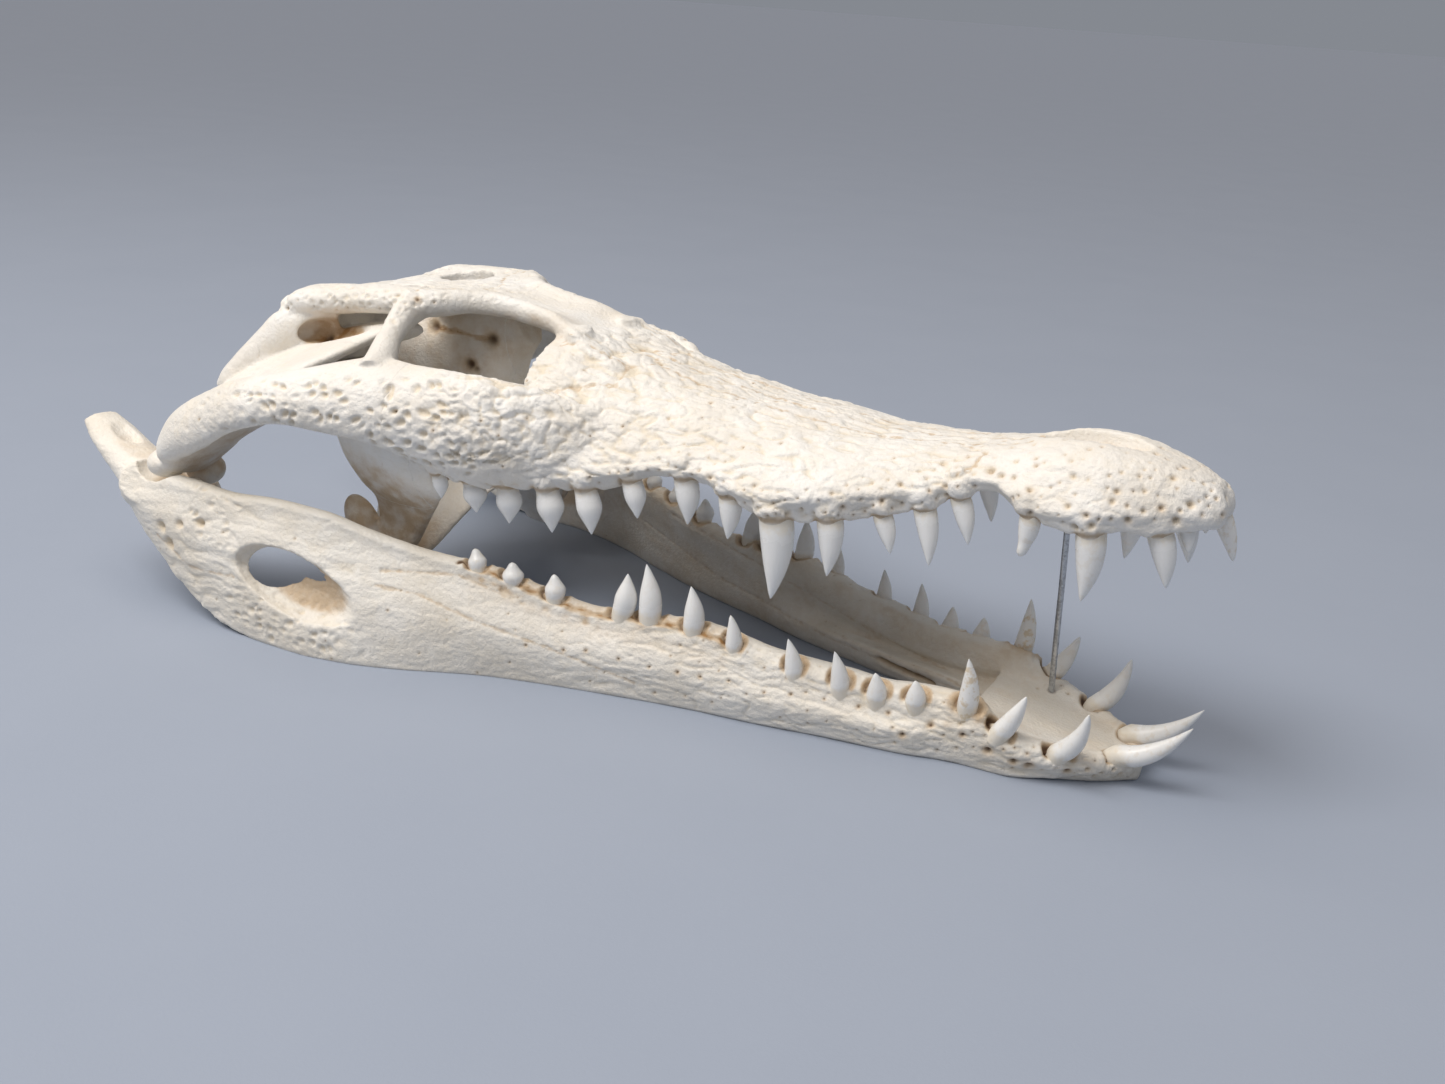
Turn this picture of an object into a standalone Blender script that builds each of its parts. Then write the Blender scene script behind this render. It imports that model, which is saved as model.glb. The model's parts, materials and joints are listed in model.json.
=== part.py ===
"""Crocodile skull with its jaws propped open by a wire, life size.

The lower jaw lies on the floor, z = 0. The snout points along +X and the left side is +Y.
Sizes are in millimetres and become metres through MM. The lower jaw's stations are measured
forward from just behind the jaw joint and up from the floor. The cranium is drawn level and
upright, with x and z measured from the joint's axis. CRANIUM_FIT then gives that pattern its
size, and CRANIUM_PLACE tips it back by GAPE about the joint and leans it to its left by TILT.
"""

import math

import bmesh
import bpy
import numpy as np
from mathutils import Matrix, Vector

MM = 0.001

# Driving dimensions
JOINT = (5.5, 0.0, 58.0)
GAPE = 7.0
TILT = 1.5
CRANIUM_LENGTH = 0.97
CRANIUM_WIDTH = 1.14
CRANIUM_LEAN = -0.11
ROOT_DEPTH = 5.0
SOCKET_GAP = 1.2
WIRE_DIAMETER = 2.4
WIRE_FOOT = (367.7, 20.4, 14.5)
WIRE_TOP = (366.0, 9.4, 107.0)
GAP = 0.3

# Borders between the pieces of the cranium, once it has its size
SNOUT_REAR = 124.0
CHEEK_INNER = 65.0
PALATE_TOP = 3.0
PALATE_REAR = 29.0

BONE = (0.76, 0.71, 0.62)
JAW_BONE = (0.74, 0.66, 0.53)
WIRE_STEEL = (0.45, 0.46, 0.47)

# Fineness of the solids
VOXEL = 1.5
SMOOTHING = 5
CRANIUM_FACES = 7350
JAW_FACES = 3650
TOOTH_SIDES = 6

CRANIUM_FIT = Matrix(
    (
        (CRANIUM_LENGTH, 0, CRANIUM_LEAN, 0),
        (0, CRANIUM_WIDTH, 0, 0),
        (0, 0, 1, 0),
        (0, 0, 0, 1),
    )
)
CRANIUM_PLACE = (
    Matrix.Translation(Vector(JOINT) * MM)
    @ Matrix.Rotation(-math.radians(TILT), 4, "X")
    @ Matrix.Rotation(-math.radians(GAPE), 4, "Y")
)


def smooth_through(stations, at):
    """Values at the places in at, on a curve through stations that never overshoots them.

    Each station is a row whose first number is its place.
    """
    rows = np.array(stations, float)
    rows = rows[np.argsort(rows[:, 0])]
    places, values = rows[:, 0], rows[:, 1:]
    steps = np.diff(places)[:, None]
    slopes = np.diff(values, axis=0) / steps
    same_way = slopes[1:] * slopes[:-1] > 0
    weights = steps[1:] + steps[:-1]
    mean = 3 * weights / (
        (2 * steps[1:] + steps[:-1]) / np.where(same_way, slopes[:-1], 1)
        + (steps[1:] + 2 * steps[:-1]) / np.where(same_way, slopes[1:], 1)
    )
    tangents = np.vstack([slopes[:1], np.where(same_way, mean, 0), slopes[-1:]])
    at = np.clip(np.asarray(at, float), places[0], places[-1])
    left = np.clip(np.searchsorted(places, at) - 1, 0, len(places) - 2)
    step = steps[left]
    t = (at - places[left])[:, None] / step
    return (
        (1 + 2 * t) * (1 - t) ** 2 * values[left]
        + t * (1 - t) ** 2 * step * tangents[left]
        + t * t * (3 - 2 * t) * values[left + 1]
        + t * t * (t - 1) * step * tangents[left + 1]
    )


def round_outline(corners, count):
    """A closed smooth curve of count points through corners, evenly along its corners."""
    corners = np.asarray(corners, float)
    total = len(corners)
    places = np.arange(count) * total / count
    left = places.astype(int)
    t = (places - left)[:, None]
    before, start, end, after = (corners[(left + k) % total] for k in (-1, 0, 1, 2))
    return 0.5 * (
        2 * start
        + (end - before) * t
        + (2 * before - 5 * start + 4 * end - after) * t**2
        + (3 * start - before - 3 * end + after) * t**3
    )


def add_mesh(name, points, faces, collection):
    """A new mesh object from points in millimetres, with its faces turned outwards."""
    mesh = bpy.data.meshes.new(name)
    mesh.from_pydata([Vector(p) * MM for p in points], [], faces)
    form = bmesh.new()
    form.from_mesh(mesh)
    bmesh.ops.recalc_face_normals(form, faces=form.faces)
    if form.calc_volume(signed=True) < 0:
        bmesh.ops.reverse_faces(form, faces=form.faces)
    form.to_mesh(mesh)
    form.free()
    obj = bpy.data.objects.new(name, mesh)
    collection.objects.link(obj)
    return obj


def loft(name, rings, collection):
    """A closed solid through rings of points, capped by a fan at each end."""
    rings = [np.asarray(ring, float) for ring in rings]
    sides = len(rings[0])
    points = [p for ring in rings for p in ring]
    faces = []
    for r in range(len(rings) - 1):
        low, high = r * sides, (r + 1) * sides
        for k in range(sides):
            n = (k + 1) % sides
            faces.append((low + k, low + n, high + n, high + k))
    for ring, first in ((rings[0], 0), (rings[-1], (len(rings) - 1) * sides)):
        centre = len(points)
        points.append(ring.mean(axis=0))
        for k in range(sides):
            faces.append((first + k, first + (k + 1) % sides, centre))
    return add_mesh(name, points, faces, collection)


def bar(name, stations, collection, up=(0, 0, 1), steps=5, sides=14):
    """A rounded bar along a path.

    Each station is x, y, z, the half width across the path and the half thickness along up.
    """
    rows = np.array([(k, *station) for k, station in enumerate(stations)], float)
    places = np.linspace(0, len(stations) - 1, (len(stations) - 1) * steps + 1)
    along = smooth_through(rows, places)
    tangents = np.gradient(along[:, :3], axis=0)
    angles = np.arange(sides) * 2 * math.pi / sides
    rings = []
    for (x, y, z, width, thick), tangent in zip(along, tangents):
        tangent = Vector(tangent).normalized()
        side = tangent.cross(Vector(up)).normalized()
        over = side.cross(tangent).normalized()
        centre = Vector((x, y, z))
        rings.append(
            [centre + side * width * math.cos(a) + over * thick * math.sin(a) for a in angles]
        )
    return loft(name, rings, collection)


def plate(name, stations, collection, steps=4, sides=16):
    """A rounded plate swept between two edges.

    Each station is a point on the first edge, a point on the second edge, the half thickness
    and how far the plate bulges outwards, away from the middle plane, between its edges.
    """
    rows = np.array([(k, *a, *b, t, bulge) for k, (a, b, t, bulge) in enumerate(stations)])
    places = np.linspace(0, len(stations) - 1, (len(stations) - 1) * steps + 1)
    along = smooth_through(rows, places)
    middles = (along[:, :3] + along[:, 3:6]) / 2
    tangents = np.gradient(middles, axis=0)
    angles = np.arange(sides) * 2 * math.pi / sides
    rings = []
    for row, middle, tangent in zip(along, middles, tangents):
        chord = Vector(row[:3] - row[3:6])
        reach = chord.length / 2
        across = chord.normalized()
        normal = across.cross(Vector(tangent)).normalized()
        if normal.y * middle[1] < 0:
            normal = -normal
        ring = []
        for a in angles:
            share = math.copysign(abs(math.cos(a)) ** 0.8, math.cos(a))
            out = math.copysign(abs(math.sin(a)) ** 0.8, math.sin(a)) * row[6]
            lift = row[7] * (1 - share * share)
            ring.append(Vector(middle) + across * share * reach + normal * (out + lift))
        rings.append(ring)
    return loft(name, rings, collection)


def ball(name, centre, radii, collection, turn=(0, 0, 0), segments=20):
    """An ellipsoid, turned by degrees about X, Y and Z."""
    mesh = bpy.data.meshes.new(name)
    form = bmesh.new()
    bmesh.ops.create_uvsphere(form, u_segments=segments, v_segments=segments // 2, radius=MM)
    form.to_mesh(mesh)
    form.free()
    spin = Matrix.LocRotScale(None, None, None)
    for axis, angle in zip("XYZ", turn):
        spin = Matrix.Rotation(math.radians(angle), 4, axis) @ spin
    place = Matrix.Translation(Vector(centre) * MM) @ spin @ Matrix.Diagonal((*radii, 1))
    mesh.transform(place)
    obj = bpy.data.objects.new(name, mesh)
    collection.objects.link(obj)
    return obj


def block(name, low, high, collection):
    """A box between two corners."""
    mesh = bpy.data.meshes.new(name)
    form = bmesh.new()
    bmesh.ops.create_cube(form, size=1.0)
    form.to_mesh(mesh)
    form.free()
    low, high = Vector(low) * MM, Vector(high) * MM
    mesh.transform(Matrix.Translation((low + high) / 2) @ Matrix.Diagonal((*(high - low), 1)))
    obj = bpy.data.objects.new(name, mesh)
    collection.objects.link(obj)
    return obj


def mirrored(obj, collection):
    """A copy of obj on the other side of the skull's middle plane."""
    mesh = obj.data.copy()
    mesh.transform(Matrix.Diagonal((1, -1, 1, 1)))
    mesh.flip_normals()
    twin = bpy.data.objects.new(obj.name + "_left", mesh)
    collection.objects.link(twin)
    return twin


def new_collection(name, hidden=False):
    """A collection in the scene. A hidden one holds cutters and pieces that get joined."""
    collection = bpy.data.collections.new(name)
    bpy.context.scene.collection.children.link(collection)
    collection.hide_render = hidden
    return collection


def empty_out(collection):
    """Removes a collection with every object in it."""
    for obj in list(collection.objects):
        bpy.data.objects.remove(obj, do_unlink=True)
    bpy.data.collections.remove(collection)


def settle(obj):
    """Turns what an object's modifiers make into its own mesh."""
    graph = bpy.context.evaluated_depsgraph_get()
    mesh = bpy.data.meshes.new_from_object(obj.evaluated_get(graph))
    obj.modifiers.clear()
    old = obj.data
    obj.data = mesh
    bpy.data.meshes.remove(old)


def combine(obj, collection, operation, solver="MANIFOLD"):
    """Joins the objects of a collection to obj, or cuts them from it, and removes them."""
    modifier = obj.modifiers.new(operation.title(), "BOOLEAN")
    modifier.operation = operation
    modifier.operand_type = "COLLECTION"
    modifier.collection = collection
    modifier.solver = solver
    settle(obj)
    empty_out(collection)


def keep_largest(obj):
    """Drops every closed surface of a mesh but the one round the most volume."""
    form = bmesh.new()
    form.from_mesh(obj.data)
    form.faces.ensure_lookup_table()
    unseen = set(form.faces)
    groups = []
    while unseen:
        edge_of_search = [unseen.pop()]
        group = list(edge_of_search)
        while edge_of_search:
            face = edge_of_search.pop()
            for edge in face.edges:
                for other in edge.link_faces:
                    if other in unseen:
                        unseen.discard(other)
                        edge_of_search.append(other)
                        group.append(other)
        groups.append(group)

    def volume(group):
        total = 0.0
        for face in group:
            corners = [v.co for v in face.verts]
            for k in range(1, len(corners) - 1):
                total += corners[0].dot(corners[k].cross(corners[k + 1])) / 6
        return total

    groups.sort(key=volume)
    loose = [face for group in groups[:-1] for face in group]
    bmesh.ops.delete(form, geom=loose, context="FACES")
    bmesh.ops.triangulate(form, faces=form.faces)
    form.to_mesh(obj.data)
    form.free()


def round_off(obj, faces):
    """Melts joined pieces into one bone, and thins its mesh to about faces triangles."""
    remesh = obj.modifiers.new("Melt", "REMESH")
    remesh.mode = "VOXEL"
    remesh.voxel_size = VOXEL * MM
    soften = obj.modifiers.new("Soften", "SMOOTH")
    soften.factor = 0.5
    soften.iterations = SMOOTHING
    settle(obj)
    keep_largest(obj)
    thin = obj.modifiers.new("Thin", "DECIMATE")
    thin.ratio = min(1.0, faces / len(obj.data.polygons))
    settle(obj)


# Snout: x, crown height, half width, height of the widest place, margin height,
# palate height at the middle, and the share of the half width that the flat top takes
SNOUT = (
    (434, 1, 2, -2, -4, -3, 0.4),
    (432.5, 6, 9, -2, -6, -4, 0.4),
    (428, 10, 14.5, 0, -6, -2, 0.45),
    (421, 13.5, 19, 1, -6, 0, 0.5),
    (413, 16.5, 23, 2, -8, 1, 0.5),
    (403, 19.5, 28, 2, -5.5, 1, 0.5),
    (392, 21.5, 31.5, 2, -8, 1, 0.45),
    (382, 22, 32, 2, -6, 1, 0.42),
    (371, 20.5, 31, 3, -3, 2, 0.4),
    (364, 19, 28.5, 6, 0.5, 3, 0.4),
    (358, 18, 26.5, 9, 4, 3, 0.45),
    (350, 17.5, 26.5, 9, 3.5, 3, 0.45),
    (342, 17, 28.5, 7, 0.5, 3, 0.45),
    (330, 17, 32.5, 5, -3.5, 3, 0.45),
    (317, 17.5, 37, 4, -6, 3, 0.42),
    (300, 19, 44, 3, -8, 3, 0.38),
    (288, 21.5, 48, 3, -8.5, 3, 0.36),
    (278, 23.5, 50, 3, -8.5, 3, 0.36),
    (269, 25, 49.5, 4, -6, 3, 0.38),
    (260, 26.5, 48, 5.5, -2.5, 3, 0.4),
    (250, 29, 47, 8, 2, 4, 0.42),
    (240, 31.5, 47.5, 9, 3.5, 5, 0.42),
    (230, 34, 49, 9, 4, 5, 0.42),
    (218, 37.5, 51, 8, 1.5, 5, 0.43),
    (208, 41, 53, 7, -2, 5, 0.43),
    (198, 43.5, 55.5, 6, -3, 5, 0.45),
    (190, 46.5, 57, 6, -3, 5, 0.45),
    (182, 50, 58.5, 6, -3, 5, 0.45),
    (169, 52, 59.5, 6, -3, 5, 0.45),
)

# Roof from the snout to the rear of the skull table: x, half width, rim height,
# how far the middle dips below the rims, thickness
ROOF = (
    (205, 24, 40.5, 0, 12),
    (196, 27, 44.5, 1, 12),
    (186, 25, 50, 2, 12),
    (177, 21, 54.5, 3, 11),
    (166, 18.5, 60, 3.5, 10),
    (154, 17.5, 63, 4, 10),
    (144, 18.5, 65.5, 4, 10),
    (134, 22, 67.5, 3.5, 10),
    (127, 28, 68.5, 3, 10),
    (121, 36, 69, 2.5, 11),
    (114, 40, 70, 2.5, 12),
    (100, 42.5, 71, 3, 12),
    (80, 45.5, 71.5, 3, 12.5),
    (66, 48.5, 71.5, 3, 13),
    (58, 49.5, 70.5, 3, 13),
    (53, 48, 68, 2.5, 11),
)

# Cheek arch from the maxilla to the joint: upper edge, lower edge, half thickness, bulge
CHEEK = (
    ((212, -40, 28), (208, -46, 1), 5, 0),
    ((196, -45, 32), (196, -50, -2.5), 6, 2),
    ((180, -52, 38), (180, -54, -3), 6, 4),
    ((164, -59, 42), (166, -58.5, -3), 5.5, 7),
    ((150, -62, 43.5), (153, -62, -2), 5, 8),
    ((133, -62, 45), (140, -69, 6), 5, 7),
    ((118, -63, 47), (119, -79, 16.5), 5, 5),
    ((101, -71, 45), (104, -85, 20.5), 4.5, 4),
    ((85, -78, 42), (84, -89, 23.5), 4.5, 2.5),
    ((61, -80, 38.5), (61, -91, 19.5), 4.5, 2),
    ((38, -79, 31.5), (38, -90, 10.5), 5, 2),
    ((22, -80, 24.5), (22, -88, 5), 5.5, 1),
    ((11, -82, 14), (10, -85, 1), 5, 0),
)

# Quadrate's sloping shelf: front edge, rear edge, half thickness, bulge
QUADRATE_SHELF = (
    ((110, -30, 53), (52, -26, 47), 5, 0),
    ((107, -38, 54), (50, -36, 45), 4, 0),
    ((104, -46, 53), (42, -48, 40), 3.8, 0),
    ((98, -60, 48.5), (26, -60, 31), 4, 0),
    ((91, -72, 44), (19, -72, 23), 4.2, 0),
    ((84, -82, 40), (17, -82, 17), 4, 0),
)

# Quadrate's body down to the joint: centre, half width, half thickness
QUADRATE_BODY = (
    (88, -30, 35, 12, 7),
    (62, -44, 31, 14, 7.5),
    (40, -57, 23, 16, 8),
    (20, -68, 11, 17, 8),
    (5, -71, 0, 16, 7),
)

# Paroccipital process behind the quadrate: centre, half width, half thickness
PAROCCIPITAL = (
    (66, -34, 57, 8, 8),
    (56, -45, 55, 6.5, 9),
    (38, -53, 43, 5.5, 7),
    (24, -58, 33, 4.5, 5),
)

POSTORBITAL_BAR = (
    (112, -34, 64, 7, 6),
    (112, -42, 59.5, 5.5, 5),
    (114, -52, 53.5, 4.6, 4.6),
    (117, -60, 48, 5.5, 5.5),
    (120, -67, 41, 9, 6),
)

PREFRONTAL_PILLAR = (
    (180, -17, 54, 8, 4),
    (177, -15, 40, 4, 3.5),
    (176, -14, 22, 4, 3.5),
    (175, -12, 4, 7, 4),
)

# Outer piece of the palate from the cheek down to the pterygoid's wing
ECTOPTERYGOID = (
    ((88, -68, 24), (146, -61, 4), 4, 0),
    ((90, -58, 8), (138, -56, -5), 3.5, 0),
    ((92, -52, -6), (124, -52, -15), 3.2, 0),
    ((88, -49, -22), (110, -50, -29), 3.2, 0),
    ((80, -48, -38), (99, -49, -42), 3.2, 0),
    ((77, -48, -50), (90, -48, -53), 2.8, 0),
)

# Pterygoid plate from one wing to the middle: front edge, rear edge, half thickness, bulge
PTERYGOID = (
    ((92, -50, -52), (76, -50, -50), 3, 0),
    ((108, -40, -36), (72, -40, -34), 2.6, 0),
    ((124, -24, -17), (64, -24, -20), 2.8, 0),
    ((134, 0, -8), (60, 0, -14), 5, 0),
    ((124, 24, -17), (64, 24, -20), 2.8, 0),
    ((108, 40, -36), (72, 40, -34), 2.6, 0),
    ((92, 50, -52), (76, 50, -50), 3, 0),
)

PALATINE_BAR = (
    (232, 0, 3, 19, 6),
    (210, 0, 4, 16, 8),
    (190, 0, 3, 13, 8),
    (165, 0, 2, 12, 8),
    (140, 0, 0, 13, 9),
    (120, 0, -4, 17, 9),
    (98, 0, -7, 19, 8),
)

# Braincase under the table: centre, half width, half height
BRAINCASE = (
    (139, 0, 53, 7, 10),
    (126, 0, 48, 11, 17),
    (108, 0, 38, 14, 27),
    (88, 0, 32, 16, 33),
    (66, 0, 32, 20, 34),
    (54, 0, 38, 22, 28),
)

BASIOCCIPITAL = (
    (62, 0, 22, 15, 9),
    (60, 0, 4, 17, 8),
    (62, 0, -12, 15, 8),
)

# Occipital plate from side to side: upper edge, lower edge, half thickness, bulge
OCCIPUT = (
    ((38, -57, 40), (36, -57, 32), 4, 0),
    ((54, -44, 58), (50, -44, 38), 5, 0),
    ((61, -22, 66), (58, -22, 30), 5.5, 0),
    ((63, 0, 67), (57, 0, 24), 6, 0),
    ((61, 22, 66), (58, 22, 30), 5.5, 0),
    ((54, 44, 58), (50, 44, 38), 5, 0),
    ((38, 57, 40), (36, 57, 32), 4, 0),
)

# Condyles of the joint: centre and radii
CONDYLES = (
    ((3, 79, 0), (7, 9, 6.5)),
    ((2, 62, -7), (7, 8.5, 7)),
)

# Upper teeth: x, distance from the middle, height of the base, length of the crown,
# radius at the base, how far the tip stands forward of the base and outside it
FIRST_UPPER_TOOTH = (429.4, 6, -5, 17, 3.6, 3, 1)
UPPER_TEETH = (
    (421.6, 11, -6, 8.5, 3, 0.3, 1),
    (413.6, 15.5, -8, 19, 4.8, 0.5, -0.5),
    (392.2, 25, -7.5, 24, 5.6, -5.5, 0.5),
    (371.4, 27, -3, 14, 4, -5, 0.5),
    (344.5, 24.5, 0.3, 16, 4, 1.6, 1),
    (331.7, 28, -3.8, 20, 4.4, 0, 1.5),
    (317, 32.5, -6.6, 13, 3.8, 1.8, 1),
    (298.5, 38.5, -8, 20.5, 5.2, -3.2, 1.5),
    (279, 43.5, -8.2, 30, 6.8, -6, 1),
    (259.8, 43, -2, 15.5, 4.6, -2.8, 1),
    (240.7, 42.5, 3.2, 17, 5, -1.2, 1),
    (218.4, 46, 1, 13.5, 4.4, 0.9, 1),
    (199, 50, -2.6, 17, 5, 0.6, 1),
    (182.8, 53, -3.2, 16.5, 5.2, 0.2, 1),
    (166.8, 57, -2.8, 14, 5, -1.4, 0.5),
    (152.9, 60.5, -1.2, 11.5, 4.6, 0, 0.5),
    (140.5, 65, 1.8, 9, 3.2, -0.6, 0),
)

# Lower teeth: x, distance from the middle and height of the base, then of the tip,
# and the radius at the base
LOWER_TEETH = (
    (404, 10, 11.5, 427, 9, 29, 4.6),
    (385, 24, 12.5, 394.5, 29, 32.6, 4.4),
    (364.5, 31.5, 17.5, 372.5, 33, 34.8, 4),
    (351, 31.5, 24, 350.5, 35.5, 44.5, 4.8),
    (332, 34.5, 21.5, 332, 37, 31, 3.6),
    (317.5, 37, 20, 317.3, 40, 31, 3.6),
    (303.6, 39.5, 20.5, 301.5, 43, 36.5, 3.3),
    (285.5, 42.5, 22.5, 283.3, 45.5, 37.6, 3.3),
    (261, 46, 28, 260, 48.5, 42, 3),
    (244, 48, 32.5, 243, 50, 50, 3.8),
    (226, 51, 33.5, 224, 52, 55, 4.3),
    (215, 53.5, 33, 217, 54, 50, 4),
    (187, 59.5, 34, 186.7, 60, 44, 3.5),
    (169.5, 63.8, 37.5, 169.3, 64, 46, 3.6),
    (155, 67.5, 41, 153.2, 67, 49, 3.2),
)


def snout_rings(sides=32):
    """Rings of the snout from its tip back to the front of the orbits."""
    places = np.concatenate([np.linspace(434, 420, 8), np.linspace(416, 169, 64)])
    rings = []
    for x, row in zip(places, smooth_through(SNOUT, places)):
        crown, width, widest, margin, palate, flat = row
        shoulder = (width * (flat + 1) / 2, crown - (crown - widest) * 0.32)
        half = (
            (width * flat * 0.5, crown - 0.3),
            (width * flat, crown - (crown - widest) * 0.08),
            shoulder,
            (width, widest),
            (width - 0.12 * width * 0.3, (margin + widest) / 2),
            (width * 0.9, margin),
            (width * 0.72, margin + 1.0),
            (width * 0.5, (margin + palate) / 2 + 1),
        )
        outline = [(0, crown), *half, (0, palate), *((-y, z) for y, z in reversed(half))]
        rings.append([(x, y, z) for y, z in round_outline(outline, sides)])
    return rings


def roof_rings(sides=28):
    """Rings of the roof, with raised rims beside the orbits."""
    places = np.linspace(205, 50, 36)
    rings = []
    for x, row in zip(places, smooth_through(ROOF, places)):
        width, rim, dip, thick = row
        half = (
            (width * 0.5, rim - dip * 0.75),
            (width * 0.82, rim),
            (width, rim - thick * 0.3),
            (width * 0.97, rim - thick * 0.8),
            (width * 0.72, rim - thick),
        )
        outline = [(0, rim - dip), *half, (0, rim - thick), *((-y, z) for y, z in reversed(half))]
        rings.append([(x, y, z) for y, z in round_outline(outline, sides)])
    return rings


def tooth(name, base, tip, radius, collection):
    """A bowed conical tooth with its root sunk behind its base."""
    base, tip = Vector(base), Vector(tip)
    axis = tip - base
    length = axis.length
    across = axis.cross(Vector((1, 0.3, 0))).normalized()
    along = axis.cross(across).normalized()
    rings = []
    for share, size in ((-ROOT_DEPTH / length, 0.85), (0.1, 1), (0.6, 0.64), (1, 0.12)):
        bow = 0.16 * length * share * (1 - share) if share > 0 else 0
        middle = base + axis * share + Vector((bow, 0, 0))
        ring = []
        for k in range(TOOTH_SIDES):
            angle = k * 2 * math.pi / TOOTH_SIDES
            side = across * math.cos(angle) + along * math.sin(angle)
            ring.append(middle + side * radius * size)
        rings.append(ring)
    return loft(name, rings, collection)


def upper_tooth(station, side, collection):
    """One upper tooth of a side, in the cranium's pattern."""
    x, y, z, length, radius, forward, outward = station
    base = (x, side * y, z)
    tip = (x + forward, side * (y + outward), z - length)
    return tooth("upper_tooth", base, tip, radius, collection)


def make_cranium(collection):
    """The whole cranium, level and at its size, as one melted bone."""
    pieces = new_collection("cranium_pieces", hidden=True)
    cranium = loft("cranium", snout_rings(), collection)
    loft("roof", roof_rings(), pieces)
    plate("pterygoid", PTERYGOID, pieces)
    plate("occiput", OCCIPUT, pieces)
    bar("palatine_bar", PALATINE_BAR, pieces)
    bar("braincase", BRAINCASE, pieces)
    bar("basioccipital", BASIOCCIPITAL, pieces, up=(1, 0, 0))
    ball("neck_condyle", (47, 0, 22), (8, 7.5, 7), pieces)
    paired = [
        plate("cheek", CHEEK, pieces),
        plate("quadrate_shelf", QUADRATE_SHELF, pieces),
        bar("quadrate_body", QUADRATE_BODY, pieces),
        bar("paroccipital", PAROCCIPITAL, pieces),
        bar("postorbital_bar", POSTORBITAL_BAR, pieces, up=(1, 0, 0)),
        bar("prefrontal_pillar", PREFRONTAL_PILLAR, pieces, up=(1, 0, 0)),
        plate("ectopterygoid", ECTOPTERYGOID, pieces),
        ball("cartilage", (79, -51, -26), (7, 4.5, 11), pieces, turn=(0, -25, 0)),
    ]
    for (x, y, z), radii in CONDYLES:
        paired.append(ball("jaw_condyle", (x, -y, z), radii, pieces))
    for piece in paired:
        mirrored(piece, pieces)
    combine(cranium, pieces, "UNION")

    cutters = new_collection("cranium_cutters", hidden=True)
    ball("naris", (389, 0, 22), (21, 8.5, 12), cutters)
    ball("foramen_magnum", (50, 0, 37), (14, 6.5, 6), cutters)
    ball("choana", (78, 0, -20), (7, 7, 9), cutters)
    ball("incisive_foramen", (402, 0, -3), (8, 5, 7), cutters)
    for side in (-1, 1):
        ball("table_opening", (90, 20 * side, 66), (13, 10, 22), cutters)
        ball("orbit", (149, 43 * side, 60), (28, 17, 15), cutters, turn=(24 * side, 0, -14 * side))
        ball("orbit_deep", (151, 32 * side, 37), (23, 15, 15), cutters, turn=(0, 0, -12 * side))
        ball("palate_window", (183, 29 * side, 3), (34, 12, 22), cutters, turn=(0, 0, 10 * side))
        ball("ear_recess", (76, 46 * side, 54), (23, 9, 6), cutters, turn=(0, -8, 8 * side))
    combine(cranium, cutters, "DIFFERENCE")
    cranium.data.transform(CRANIUM_FIT)
    round_off(cranium, CRANIUM_FACES)
    return cranium


def cut_out(whole, name, low, high, collection, without=None):
    """The part of a bone inside a box, less an optional second box, as its own object."""
    piece = bpy.data.objects.new(name, whole.data.copy())
    collection.objects.link(piece)
    inside = new_collection("inside", hidden=True)
    block("inside", low, high, inside)
    combine(piece, inside, "INTERSECT")
    if without:
        outside = new_collection("outside", hidden=True)
        block("outside", *without, outside)
        combine(piece, outside, "DIFFERENCE")
    keep_largest(piece)
    return piece


def split_cranium(cranium, collection):
    """The cranium's nodes, parted by cuts GAP wide, each moved to its place on the joint."""
    half = GAP / 2
    front, far = SNOUT_REAR - half, 900
    inner, outer = CHEEK_INNER - half, CHEEK_INNER + half
    under = ((PALATE_REAR - half, -far, -far), (far, far, PALATE_TOP + half))
    palate_low, palate_high = (PALATE_REAR + half, -inner, -far), (front, inner, PALATE_TOP - half)
    nodes = [
        cut_out(cranium, "snout", (front + GAP, -far, -far), (far, far, far), collection),
        cut_out(cranium, "cheek_right", (-far, -far, -far), (front, -outer, far), collection),
        cut_out(cranium, "cheek_left", (-far, outer, -far), (front, far, far), collection),
        cut_out(cranium, "palate", palate_low, palate_high, collection),
        cut_out(
            cranium, "skull_roof", (-far, -inner, -far), (front, inner, far), collection, under
        ),
    ]
    bpy.data.objects.remove(cranium, do_unlink=True)
    teeth = new_collection("upper_teeth", hidden=True)
    upper_tooth(FIRST_UPPER_TOOTH, 1, teeth)
    for station in UPPER_TEETH:
        for side in (-1, 1):
            upper_tooth(station, side, teeth)
    for crown in teeth.objects:
        crown.data.transform(CRANIUM_FIT)
    combine(nodes[0], teeth, "UNION")
    for node in nodes:
        node.data.transform(CRANIUM_PLACE)
    return nodes


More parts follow.
